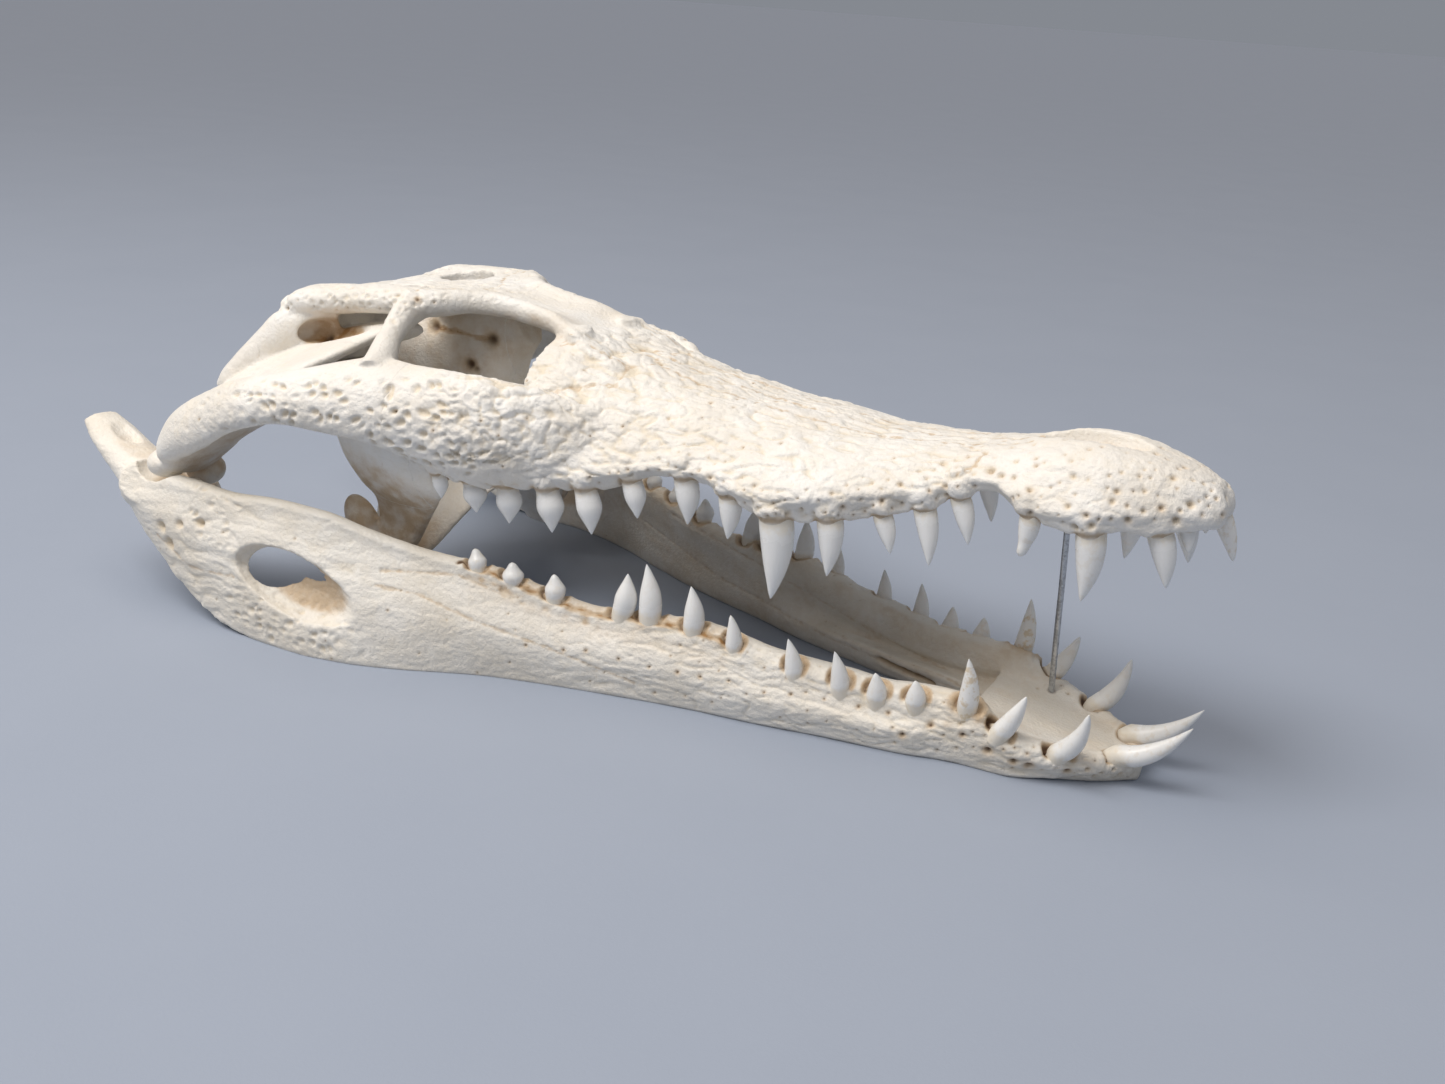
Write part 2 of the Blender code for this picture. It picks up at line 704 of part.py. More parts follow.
# Ramus: x, then height, distance from the middle and half thickness at the top,
# at mid height and at the bottom
RAMUS = (
    (398, 12, 13, 3.5, 8, 12, 4, 3, 6, 3),
    (385, 13.5, 22.5, 4.5, 8, 20, 5, 1, 9.5, 4),
    (366, 18.5, 29, 5, 10, 27, 6.5, -0.8, 13, 5),
    (350, 25.5, 29, 5.5, 13, 27.5, 7, -0.8, 15.5, 5.5),
    (341, 23.5, 30, 5, 12, 29, 7.5, -0.8, 17.5, 6),
    (331, 22, 32, 5.5, 11, 31.5, 8.5, -0.8, 19.5, 6),
    (318, 20, 35, 5.5, 11, 34, 8.5, -0.8, 22, 6),
    (304, 21, 37.5, 5.5, 11, 36.5, 8.5, -0.8, 24, 6),
    (276, 24, 42.5, 5.5, 12, 42.5, 8.5, -0.8, 31, 6),
    (247, 32.5, 46, 5.5, 16, 47, 8.5, -0.8, 39.5, 6),
    (226, 34, 50, 5.5, 17, 52, 8, -0.8, 47, 6),
    (205, 33, 54.5, 5.5, 17, 57.5, 7.5, -0.8, 54, 6),
    (186, 36, 59, 5.5, 18, 63.5, 7.2, -0.8, 61.5, 6),
    (164, 42, 64.5, 5, 20, 71, 7, -0.8, 71, 6),
    (150, 44, 69, 5, 22, 76, 7, -0.8, 77.5, 6.5),
    (135, 46, 74, 4.8, 24, 82, 7.2, -0.8, 85, 7),
    (112, 51.5, 82, 4.5, 27, 90, 7.5, -0.8, 93.5, 7.5),
    (92, 57, 88, 4.3, 30, 95, 7.5, -0.8, 97.5, 7.5),
    (70, 58.5, 92.5, 4.5, 32, 98.5, 7, -0.4, 98, 7.5),
    (50, 57.5, 95.5, 5, 34, 99, 7, 2.5, 98, 7),
    (30, 59, 97, 5, 38, 99, 7, 11, 97.5, 6.5),
    (14, 59, 96.5, 5, 42, 98, 7, 21, 96.5, 5.5),
    (0, 59, 95, 5, 46, 96, 7, 32, 95.5, 5),
    (-12, 56, 93, 4, 48, 93, 6, 42, 93, 4.5),
)

# Symphysis, where both rami meet: x, height at the middle, half width at the rim,
# rim height, half width at mid height, half width at the bottom
SYMPHYSIS = (
    (410, 8, 4, 9, 4, 2),
    (407, 9, 9, 11, 10, 4),
    (400, 10, 16, 12.5, 17, 7),
    (390, 10.5, 23, 13, 24, 11),
    (378, 12, 30, 15, 30, 14),
    (366, 14.5, 34, 18.5, 33.5, 17),
    (356, 16.5, 34.5, 22, 34, 19),
    (347, 17, 34.5, 23.5, 34.5, 20),
)

# Retroarticular process behind the joint: centre, half width, half thickness
RETROARTICULAR = (
    (34, -92, 34, 8, 17),
    (12, -88, 42, 13, 14),
    (-8, -85, 49, 13.5, 9.5),
    (-22, -84, 56, 12, 7),
    (-35, -82, 63, 10.5, 5),
    (-45, -80, 68, 8, 3.4),
)

ARTICULAR = (
    (4, -98, 53, 13, 10),
    (0, -88, 47, 17, 13),
    (-2, -74, 42, 16, 11),
    (-2, -62, 39, 12, 8),
)


def ramus_rings(sides=20):
    """Rings of the right ramus, from the chin back to the joint."""
    places = np.concatenate([np.linspace(398, 340, 14), np.linspace(334, -12, 66)])
    rings = []
    for x, row in zip(places, smooth_through(RAMUS, places)):
        top, top_y, top_t, mid, mid_y, mid_t, low, low_y, low_t = row
        outline = (
            (top_y, top),
            (top_y + top_t * 0.75, top - top_t * 0.3),
            (top_y + top_t, top - top_t * 1.2),
            (mid_y + mid_t, mid),
            (low_y + low_t, low + low_t * 0.9),
            (low_y + low_t * 0.6, low),
            (low_y - low_t * 0.6, low),
            (low_y - low_t, low + low_t * 0.9),
            (mid_y - mid_t, mid),
            (top_y - top_t, top - top_t * 1.2),
            (top_y - top_t * 0.75, top - top_t * 0.3),
        )
        rings.append([(x, -y, z) for y, z in round_outline(outline, sides)])
    return rings


def symphysis_rings(sides=24):
    """Rings of the symphysis, with a hollowed upper face between its rims."""
    places = np.concatenate([np.linspace(410, 400, 6), np.linspace(396, 347, 14)])
    rings = []
    for x, row in zip(places, smooth_through(SYMPHYSIS, places)):
        middle, rim_y, rim, side_y, low_y = row
        half = (
            (rim_y * 0.55, middle + 0.5),
            (rim_y * 0.85, rim),
            (side_y, rim * 0.65),
            ((side_y + low_y) / 2 + 1, rim * 0.25),
            (low_y * 0.8, -0.8),
        )
        outline = [(0, middle), *half, (0, -0.8), *((-y, z) for y, z in reversed(half))]
        rings.append([(x, y, z) for y, z in round_outline(outline, sides)])
    return rings


def make_jaw(collection):
    """Both halves of the lower jaw, with sockets that clear the condyles, as one melted bone."""
    pieces = new_collection("jaw_pieces", hidden=True)
    jaw = loft("jaw", symphysis_rings(), collection)
    paired = [
        loft("ramus", ramus_rings(), pieces),
        bar("retroarticular", RETROARTICULAR, pieces),
        bar("articular", ARTICULAR, pieces),
    ]
    for piece in paired:
        mirrored(piece, pieces)
    combine(jaw, pieces, "UNION")
    cutters = new_collection("jaw_cutters", hidden=True)
    paired = [
        ball("fenestra", (91, -104, 28), (31, 12.5, 12.5), cutters, turn=(0, 14, 0)),
        ball("inner_window", (68, -88, 28), (24, 13, 12), cutters, turn=(0, -28, 0)),
        ball("muscle_hollow", (86, -87, 37), (34, 8, 11), cutters, turn=(0, 14, 11)),
        ball("scoop", (-31, -82, 72), (17, 8, 7), cutters, turn=(0, 42, 0)),
    ]
    for cutter in paired:
        mirrored(cutter, cutters)
    for (x, y, z), radii in CONDYLES:
        room = Vector(radii) + Vector((6, 3, 2)) * SOCKET_GAP
        for side in (-1, 1):
            socket = ball("socket", (x, side * y, z), room, cutters)
            socket.data.transform(CRANIUM_PLACE @ CRANIUM_FIT)
    combine(jaw, cutters, "DIFFERENCE")
    round_off(jaw, JAW_FACES)
    return jaw


def split_jaw(jaw, collection):
    """The lower jaw's two halves with their teeth, standing on flats on the floor."""
    far = 900
    halves = []
    for name, side in (("mandible_right", -1), ("mandible_left", 1)):
        near, out = side * GAP / 2, side * far
        low, high = (-far, min(near, out), 0), (far, max(near, out), far)
        half = cut_out(jaw, name, low, high, collection)
        teeth = new_collection("lower_teeth", hidden=True)
        for x, y, z, tip_x, tip_y, tip_z, radius in LOWER_TEETH:
            tooth("lower_tooth", (x, side * y, z), (tip_x, side * tip_y, tip_z), radius, teeth)
        combine(half, teeth, "UNION")
        halves.append(half)
    bpy.data.objects.remove(jaw, do_unlink=True)
    return halves


def rod(name, start, end, radius, collection):
    """A straight round wire between two points, as a mesh."""
    curve = bpy.data.curves.new(name, "CURVE")
    curve.dimensions = "3D"
    curve.bevel_depth = radius * MM
    curve.bevel_resolution = 2
    curve.use_fill_caps = True
    line = curve.splines.new("POLY")
    line.points.add(1)
    line.points[0].co = (*(Vector(start) * MM), 1)
    line.points[1].co = (*(Vector(end) * MM), 1)
    guide = bpy.data.objects.new(name + "_guide", curve)
    collection.objects.link(guide)
    graph = bpy.context.evaluated_depsgraph_get()
    mesh = bpy.data.meshes.new_from_object(guide.evaluated_get(graph))
    bpy.data.objects.remove(guide, do_unlink=True)
    form = bmesh.new()
    form.from_mesh(mesh)
    bmesh.ops.remove_doubles(form, verts=form.verts, dist=1e-6)
    bmesh.ops.recalc_face_normals(form, faces=form.faces)
    form.to_mesh(mesh)
    form.free()
    obj = bpy.data.objects.new(name, mesh)
    collection.objects.link(obj)
    return obj


def add_wire(bones, collection):
    """The prop wire, let into a hole in each bone that it holds apart."""
    start, end = Vector(WIRE_FOOT), Vector(WIRE_TOP)
    room = (end - start).normalized() * GAP
    for bone in bones:
        holes = new_collection("wire_holes", hidden=True)
        rod("hole", start - room, end + room, WIRE_DIAMETER / 2 + GAP, holes)
        combine(bone, holes, "DIFFERENCE")
        keep_largest(bone)
    return rod("prop_wire", start, end, WIRE_DIAMETER / 2, collection)


def paint(obj, colour, roughness, metallic=0.0):
    """Shades an object smooth and gives it its own material."""
    obj.data.shade_smooth()
    obj.data.set_sharp_from_angle(angle=math.radians(50))
    material = bpy.data.materials.new(obj.name)
    material.use_nodes = True
    shader = material.node_tree.nodes["Principled BSDF"]
    shader.inputs["Base Color"].default_value = (*colour, 1)
    shader.inputs["Roughness"].default_value = roughness
    shader.inputs["Metallic"].default_value = metallic
    obj.data.materials.clear()
    obj.data.materials.append(material)


def centre_on_floor(objects):
    """Moves the model so that its box stands on z = 0 with its middle over the origin."""
    points = [v.co for obj in objects for v in obj.data.vertices]
    low = Vector([min(p[k] for p in points) for k in range(3)])
    high = Vector([max(p[k] for p in points) for k in range(3)])
    shift = Vector((-(low.x + high.x) / 2, -(low.y + high.y) / 2, -low.z))
    for obj in objects:
        obj.data.transform(Matrix.Translation(shift))


def main():
    """Builds the skull."""
    for obj in list(bpy.data.objects):
        bpy.data.objects.remove(obj, do_unlink=True)
    skull = new_collection("crocodile_skull")
    snout, *rear = split_cranium(make_cranium(skull), skull)
    right, left = split_jaw(make_jaw(skull), skull)
    wire = add_wire((snout, left), skull)
    for bone in (snout, *rear):
        paint(bone, BONE, 0.55)
    for bone in (right, left):
        paint(bone, JAW_BONE, 0.5)
    paint(wire, WIRE_STEEL, 0.4, metallic=1.0)
    centre_on_floor((snout, *rear, right, left, wire))


if __name__ == "__main__":
    main()
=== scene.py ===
"""Dresses the crocodile skull: bones with their relief, teeth, prop wire, floor, light and camera.

Sizes are in millimetres until MM makes them metres. The lower jaw's stations are measured
forward from just behind the jaw joint and up from the floor. The cranium is drawn level, as a
pattern with x and z measured from the joint's axis, and then gets its size and its gape.
"""

import json
import logging
import math
from dataclasses import dataclass, field
from enum import Enum
from itertools import product

import bmesh
import bpy
import numpy as np
from bpy.types import ID, Collection, Material, Mesh, Node, NodeSocket, Object
from mathutils import Matrix, Vector

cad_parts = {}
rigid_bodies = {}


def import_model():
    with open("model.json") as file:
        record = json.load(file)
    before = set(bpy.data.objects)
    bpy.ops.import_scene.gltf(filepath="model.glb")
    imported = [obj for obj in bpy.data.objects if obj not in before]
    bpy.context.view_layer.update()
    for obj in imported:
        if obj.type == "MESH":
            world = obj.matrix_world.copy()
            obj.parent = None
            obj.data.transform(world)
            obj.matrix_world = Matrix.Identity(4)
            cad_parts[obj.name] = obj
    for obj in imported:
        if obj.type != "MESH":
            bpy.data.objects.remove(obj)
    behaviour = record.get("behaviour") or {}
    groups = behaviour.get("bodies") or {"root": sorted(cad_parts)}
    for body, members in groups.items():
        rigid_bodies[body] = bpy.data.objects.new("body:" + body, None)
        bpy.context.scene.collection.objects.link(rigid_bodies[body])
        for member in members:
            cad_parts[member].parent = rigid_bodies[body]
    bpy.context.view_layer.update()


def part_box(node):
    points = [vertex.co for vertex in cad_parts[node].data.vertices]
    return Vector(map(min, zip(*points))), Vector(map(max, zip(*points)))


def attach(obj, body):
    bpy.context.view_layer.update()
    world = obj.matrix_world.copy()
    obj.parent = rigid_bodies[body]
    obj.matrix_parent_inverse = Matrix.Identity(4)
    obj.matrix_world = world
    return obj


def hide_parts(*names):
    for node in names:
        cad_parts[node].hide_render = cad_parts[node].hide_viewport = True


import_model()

MM = 0.001
LOG = logging.getLogger("crocodile_skull")

# How finely the pieces are drawn before they are melted together
PATH_STEPS = 8
BAR_SIDES = 24
PLATE_SIDES = 28
BALL_SIDES = 36

# Further than any bone reaches, for boxes that are open on a side
FAR = 900


class Side(Enum):
    """The skull's two sides, by the sign of y."""

    RIGHT = -1
    LEFT = 1


class Join(Enum):
    """How a Boolean puts two solids together."""

    ADD = "UNION"
    CUT = "DIFFERENCE"
    KEEP = "INTERSECT"


def smooth_through(stations: list, at: np.ndarray) -> np.ndarray:
    """Values on a curve through stations that never overshoots them.

    Args:
        stations: Rows whose first number is the row's place.
        at: The places where the values are wanted.

    Returns:
        One row of values for each place in at.
    """
    rows = np.array(stations, float)
    rows = rows[np.argsort(rows[:, 0])]
    places, values = rows[:, 0], rows[:, 1:]
    steps = np.diff(places)[:, None]
    slopes = np.diff(values, axis=0) / steps
    same_way = slopes[1:] * slopes[:-1] > 0
    weights = steps[1:] + steps[:-1]
    mean = 3 * weights / (
        (2 * steps[1:] + steps[:-1]) / np.where(same_way, slopes[:-1], 1)
        + (steps[1:] + 2 * steps[:-1]) / np.where(same_way, slopes[1:], 1)
    )
    tangents = np.vstack([slopes[:1], np.where(same_way, mean, 0), slopes[-1:]])
    at = np.clip(np.asarray(at, float), places[0], places[-1])
    left = np.clip(np.searchsorted(places, at) - 1, 0, len(places) - 2)
    step = steps[left]
    t = (at - places[left])[:, None] / step
    return (
        (1 + 2 * t) * (1 - t) ** 2 * values[left]
        + t * (1 - t) ** 2 * step * tangents[left]
        + t * t * (3 - 2 * t) * values[left + 1]
        + t * t * (t - 1) * step * tangents[left + 1]
    )


def round_outline(corners: list, count: int) -> np.ndarray:
    """A closed smooth curve through corners.

    Args:
        corners: Points in the plane, in order.
        count: How many points the curve gets.

    Returns:
        The curve's points.
    """
    corners = np.asarray(corners, float)
    total = len(corners)
    places = np.arange(count) * total / count
    left = places.astype(int)
    t = (places - left)[:, None]
    before, start, end, after = (corners[(left + k) % total] for k in (-1, 0, 1, 2))
    return 0.5 * (
        2 * start
        + (end - before) * t
        + (2 * before - 5 * start + 4 * end - after) * t**2
        + (3 * start - before - 3 * end + after) * t**3
    )


def ease(value: np.ndarray, low: float, high: float) -> np.ndarray:
    """A smooth step from 0 at low to 1 at high, also where high is the smaller."""
    t = np.clip((value - low) / (high - low), 0, 1)
    return t * t * (3 - 2 * t)


def hashed(cells: np.ndarray, seed: int) -> np.ndarray:
    """Three steady numbers from 0 to 1 for each lattice cell.

    Args:
        cells: Whole-number coordinates, one row a cell.
        seed: Gives another set of numbers.

    Returns:
        An array with the shape of cells.
    """
    # Large odd factors and shifts scatter neighbouring cells over the whole range
    n = cells.astype(np.int64).astype(np.uint32)
    mixed = n[:, 0] * np.uint32(73856093) ^ n[:, 1] * np.uint32(19349663)
    mixed ^= n[:, 2] * np.uint32(83492791) ^ np.uint32(seed * 668265263 % 2**32)
    out = np.empty((len(n), 3))
    for k in range(3):
        mixed = (mixed ^ (mixed >> np.uint32(15))) * np.uint32(2246822519)
        mixed = (mixed ^ (mixed >> np.uint32(13))) * np.uint32(3266489917)
        mixed ^= mixed >> np.uint32(16)
        out[:, k] = mixed / 4294967296
    return out


def wander(points: np.ndarray, size: tuple, seed: int) -> np.ndarray:
    """Smooth noise from about -1 to 1.

    Args:
        points: Where it is read, in millimetres.
        size: The blobs' size along each axis.
        seed: Gives another noise.

    Returns:
        One number a point.
    """
    spots = points / np.asarray(size, float)
    base = np.floor(spots)
    part = spots - base
    blend = part * part * part * (part * (part * 6 - 15) + 10)
    total = np.zeros(len(points))
    for corner in product((0, 1), repeat=3):
        corner = np.array(corner)
        slope = hashed(base + corner, seed) * 2 - 1
        weight = np.prod(np.where(corner == 1, blend, 1 - blend), axis=1)
        total += weight * np.sum(slope * (part - corner), axis=1)
    return np.clip(total * 1.7, -1, 1)


def round_pits(points: np.ndarray, size: tuple, seed: int, width: float = 0.55) -> np.ndarray:
    """Scattered round pits: 1 in the middle of a pit, 0 on the net of ridges between them.

    Args:
        points: Where it is read, in millimetres.
        size: The distance from one pit to the next along each axis.
        seed: Gives other pits.
        width: A pit's radius as a share of size.

    Returns:
        One number a point.
    """
    spots = points / np.asarray(size, float)
    base = np.floor(spots)
    near = np.full(len(points), 9.0)
    second = np.full(len(points), 9.0)
    for corner in product((-1, 0, 1), repeat=3):
        cell = base + np.array(corner)
        distance = np.linalg.norm(cell + 0.12 + 0.76 * hashed(cell, seed) - spots, axis=1)
        second = np.minimum(second, np.maximum(near, distance))
        near = np.minimum(near, distance)
    return ease(near, width, 0.12) * ease(second - near, 0.0, 0.3)


def new_collection(name: str) -> Collection:
    """A new collection in the scene.

    Args:
        name: Its name.

    Returns:
        The collection.
    """
    collection = bpy.data.collections.new(name)
    bpy.context.scene.collection.children.link(collection)
    return collection


def empty_out(collection: Collection) -> None:
    """Removes a collection with every object in it.

    Args:
        collection: The collection, which is used up.
    """
    for obj in list(collection.objects):
        bpy.data.objects.remove(obj, do_unlink=True)
    bpy.data.collections.remove(collection)


def add_object(name: str, data: ID, collection: Collection) -> Object:
    """A new object in a collection.

    Args:
        name: Its name.
        data: Its mesh, light or camera.
        collection: Where it goes.

    Returns:
        The object.
    """
    obj = bpy.data.objects.new(name, data)
    collection.objects.link(obj)
    return obj


def add_mesh(name: str, points: list, faces: list, collection: Collection) -> Object:
    """A new mesh object with its faces turned outwards.

    Args:
        name: The object's name.
        points: Its points, in millimetres.
        faces: Its faces, as numbers of points.
        collection: Where it goes.

    Returns:
        The object.
    """
    mesh = bpy.data.meshes.new(name)
    mesh.from_pydata([Vector(p) * MM for p in points], [], faces)
    form = bmesh.new()
    form.from_mesh(mesh)
    bmesh.ops.recalc_face_normals(form, faces=form.faces)
    if form.calc_volume(signed=True) < 0:
        bmesh.ops.reverse_faces(form, faces=form.faces)
    form.to_mesh(mesh)
    form.free()
    return add_object(name, mesh, collection)


def wall_faces(rings: int, sides: int, first: int = 0) -> list:
    """Four-sided faces that join each ring of points to the next.

    Args:
        rings: How many rings there are.
        sides: How many points a ring has.
        first: The number of the first point.

    Returns:
        The faces, as numbers of points.
    """
    faces = []
    for low in range(first, first + (rings - 1) * sides, sides):
        high = low + sides
        for k in range(sides):
            n = (k + 1) % sides
            faces.append((low + k, low + n, high + n, high + k))
    return faces


def loft(name: str, rings: list, collection: Collection) -> Object:
    """A closed solid through rings of points, capped by a fan at each end.

    Args:
        name: The object's name.
        rings: Closed rows of points, each with as many as the others.
        collection: Where it goes.

    Returns:
        The object.
    """
    rings = [np.asarray(ring, float) for ring in rings]
    sides = len(rings[0])
    points = [p for ring in rings for p in ring]
    faces = wall_faces(len(rings), sides)
    for ring, first in ((rings[0], 0), (rings[-1], (len(rings) - 1) * sides)):
        centre = len(points)
        points.append(ring.mean(axis=0))
        faces += [(first + k, first + (k + 1) % sides, centre) for k in range(sides)]
    return add_mesh(name, points, faces, collection)


def full_turn(sides: int) -> np.ndarray:
    """Even angles all the way round."""
    return np.arange(sides) * 2 * math.pi / sides


def fuller(value: float) -> float:
    """A sine or cosine pushed outwards, for a section that fills its box better than an ellipse."""
    return math.copysign(abs(value) ** 0.8, value)


def fine_path(stations: list) -> np.ndarray:
    """Stations with a smooth run of rows drawn between them.

    Args:
        stations: Rows of numbers, at even steps.

    Returns:
        The rows with PATH_STEPS steps from each station to the next.
    """
    last = len(stations) - 1
    rows = [(k, *station) for k, station in enumerate(stations)]
    return smooth_through(rows, np.linspace(0, last, last * PATH_STEPS + 1))


def bar(name: str, stations: list, collection: Collection, up: tuple = (0, 0, 1)) -> Object:
    """A rounded bar along a path.

    Args:
        name: The object's name.
        stations: x, y, z, half width across the path and half thickness along up.
        collection: Where it goes.
        up: The direction that the thickness is measured along.

    Returns:
        The object.
    """
    along = fine_path(stations)
    turn = full_turn(BAR_SIDES)
    rings = []
    for (x, y, z, width, thick), tangent in zip(along, np.gradient(along[:, :3], axis=0)):
        tangent = Vector(tangent).normalized()
        side = tangent.cross(Vector(up)).normalized()
        over = side.cross(tangent).normalized()
        centre = Vector((x, y, z))
        ring = [(side * width * math.cos(a), over * thick * math.sin(a)) for a in turn]
        rings.append([centre + sideways + upwards for sideways, upwards in ring])
    return loft(name, rings, collection)


def plate(name: str, stations: list, collection: Collection) -> Object:
    """A rounded plate swept between two edges.

    Args:
        name: The object's name.
        stations: A point on each edge, half thickness, and how far the plate bulges outwards.
        collection: Where it goes.

    Returns:
        The object.
    """
    along = fine_path([(*start, *end, thick, bulge) for start, end, thick, bulge in stations])
    middles = (along[:, :3] + along[:, 3:6]) / 2
    rings = []
    for row, middle, tangent in zip(along, middles, np.gradient(middles, axis=0)):
        thick, bulge = row[6:]
        chord = Vector(row[:3] - row[3:6])
        reach = chord.length / 2
        across = chord.normalized()
        normal = across.cross(Vector(tangent)).normalized()
        if normal.y * middle[1] < 0:
            normal = -normal
        ring = []
        for a in full_turn(PLATE_SIDES):
            share = fuller(math.cos(a))
            lift = fuller(math.sin(a)) * thick + bulge * (1 - share * share)
            ring.append(Vector(middle) + across * share * reach + normal * lift)
        rings.append(ring)
    return loft(name, rings, collection)


def ball(
    name: str, centre: tuple, radii: tuple, collection: Collection, turn: tuple = (0, 0, 0)
) -> Object:
    """An ellipsoid.

    Args:
        name: The object's name.
        centre: Its middle.
        radii: Its three radii before it is turned.
        collection: Where it goes.
        turn: Degrees about X, Y and Z.

    Returns:
        The object.
    """
    mesh = bpy.data.meshes.new(name)
    form = bmesh.new()
    bmesh.ops.create_uvsphere(form, u_segments=BALL_SIDES, v_segments=BALL_SIDES // 2, radius=MM)
    form.to_mesh(mesh)
    form.free()
    spin = Matrix.Identity(4)
    for axis, angle in zip("XYZ", turn):
        spin = Matrix.Rotation(math.radians(angle), 4, axis) @ spin
    mesh.transform(Matrix.Translation(Vector(centre) * MM) @ spin @ Matrix.Diagonal((*radii, 1)))
    return add_object(name, mesh, collection)


def box(name: str, low: tuple, high: tuple, collection: Collection) -> Object:
    """A box.

    Args:
        name: The object's name.
        low: Its lowest corner, in millimetres.
        high: Its highest corner.
        collection: Where it goes.

    Returns:
        The object.
    """
    mesh = bpy.data.meshes.new(name)
    form = bmesh.new()
    bmesh.ops.create_cube(form, size=1.0)
    low, high = Vector(low) * MM, Vector(high) * MM
    form.transform(Matrix.Translation((low + high) / 2) @ Matrix.Diagonal((*(high - low), 1)))
    form.to_mesh(mesh)
    form.free()
    return add_object(name, mesh, collection)


def mirrored(obj: Object, collection: Collection) -> Object:
    """A copy on the other side of the skull's middle plane.

    Args:
        obj: The object to copy.
        collection: Where the copy goes.

    Returns:
        The copy.
    """
    mesh = obj.data.copy()
    mesh.transform(Matrix.Diagonal((1, -1, 1, 1)))
    mesh.flip_normals()
    return add_object(obj.name + "_left", mesh, collection)


def settle(obj: Object) -> None:
    """Turns what an object's modifiers make into its own mesh.

    Args:
        obj: The object, whose old mesh is removed.
    """
    graph = bpy.context.evaluated_depsgraph_get()
    mesh = bpy.data.meshes.new_from_object(obj.evaluated_get(graph))
    obj.modifiers.clear()
    old = obj.data
    obj.data = mesh
    bpy.data.meshes.remove(old)


def combine(obj: Object, collection: Collection, join: Join) -> None:
    """Puts the objects of a collection together with another object.

    Args:
        obj: The object that gets the result.
        collection: The other objects, which are used up.
        join: How they are put together.
    """
    modifier = obj.modifiers.new("Combine", "BOOLEAN")
    modifier.operation = join.value
    modifier.operand_type = "COLLECTION"
    modifier.collection = collection
    modifier.solver = "MANIFOLD"
    settle(obj)
    empty_out(collection)


def melt(obj: Object, voxel: float, smoothing: int) -> None:
    """Melts joined pieces into one fine skin of small even faces.

    Args:
        obj: The piece.
        voxel: The faces' size, in millimetres.
        smoothing: How many times the skin is smoothed.
    """
    remesh = obj.modifiers.new("Melt", "REMESH")
    remesh.mode = "VOXEL"
    remesh.voxel_size = voxel * MM
    smooth = obj.modifiers.new("Smooth", "SMOOTH")
    smooth.factor = 0.5
    smooth.iterations = smoothing
    settle(obj)


def soften(obj: Object, share: np.ndarray, rounds: int) -> None:
    """Smooths a part of a skin further.

    Args:
        obj: The piece.
        share: How far each point follows, from 0 to 1.
        rounds: How many times it is smoothed.
    """
    group = obj.vertex_groups.new(name="soft")
    for level in (0.25, 0.5, 0.75, 1.0):
        group.add(np.flatnonzero(np.abs(share - level) <= 0.125).tolist(), level, "REPLACE")
    smooth = obj.modifiers.new("Soften", "SMOOTH")
    smooth.vertex_group = "soft"
    smooth.iterations = rounds
    settle(obj)
    obj.vertex_groups.clear()


def keep_largest(obj: Object) -> None:
    """Drops every loose bit of a mesh but the one with the most points.

    Args:
        obj: The object.
    """
    mesh = obj.data
    ends = np.empty(len(mesh.edges) * 2, np.int32)
    mesh.edges.foreach_get("vertices", ends)
    ends = ends.reshape(-1, 2)
    label = np.arange(len(mesh.vertices))
    while True:
        low = np.minimum(label[ends[:, 0]], label[ends[:, 1]])
        spread = label.copy()
        np.minimum.at(spread, ends[:, 0], low)
        np.minimum.at(spread, ends[:, 1], low)
        spread = spread[spread]
        if np.array_equal(spread, label):
            break
        label = spread
    groups, sizes = np.unique(label, return_counts=True)
    if len(groups) == 1:
        return
    loose = np.flatnonzero(label != groups[np.argmax(sizes)])
    form = bmesh.new()
    form.from_mesh(mesh)
    form.verts.ensure_lookup_table()
    bmesh.ops.delete(form, geom=[form.verts[k] for k in loose], context="VERTS")
    form.to_mesh(mesh)
    form.free()


def read_rows(mesh: Mesh, name: str) -> np.ndarray:
    """Three numbers for each of a mesh's points.

    Args:
        mesh: The mesh.
        name: What to read, as Blender calls it: co or normal.

    Returns:
        One row a point.
    """
    values = np.empty(len(mesh.vertices) * 3)
    mesh.vertices.foreach_get(name, values)
    return values.reshape(-1, 3)


def read_points(mesh: Mesh) -> np.ndarray:
    """The places of a mesh's points, in millimetres."""
    return read_rows(mesh, "co") / MM


def write_points(mesh: Mesh, points: np.ndarray) -> None:
    """Moves a mesh's points to places in millimetres."""
    mesh.vertices.foreach_set("co", (points * MM).ravel())
    mesh.update()


def write_mask(mesh: Mesh, name: str, values: np.ndarray) -> None:
    """Stores one number a point under a name that the finishes read."""
    attribute = mesh.attributes.get(name) or mesh.attributes.new(name, "FLOAT", "POINT")
    attribute.data.foreach_set("value", values.astype(np.float32))


def grooves(noise: np.ndarray, width: float) -> np.ndarray:
    """1 along the lines where the noise crosses 0, fading to 0 beside them."""
    return np.exp(-((noise / width) ** 2))


def line_distance(points: np.ndarray, line: tuple) -> np.ndarray:
    """Each point's distance to a line of straight runs, in two dimensions.

    Args:
        points: The points, as rows of two numbers.
        line: The corners of the line.

    Returns:
        One distance a point.
    """
    best = np.full(len(points), 1e9)
    for start, end in zip(line, line[1:]):
        start, run = np.array(start, float), np.subtract(end, start)
        share = np.clip((points - start) @ run / (run @ run), 0, 1)
        best = np.minimum(best, np.linalg.norm(points - start - share[:, None] * run, axis=1))
    return best


def inside(points: np.ndarray, centre: tuple, radii: tuple) -> np.ndarray:
    """1 at the middle of an ellipsoid and of its mirror image, fading to 0 at their edges."""
    even = np.column_stack([points[:, 0], np.abs(points[:, 1]), points[:, 2]])
    return ease(np.linalg.norm((even - centre) / radii, axis=1), 1.0, 0.55)


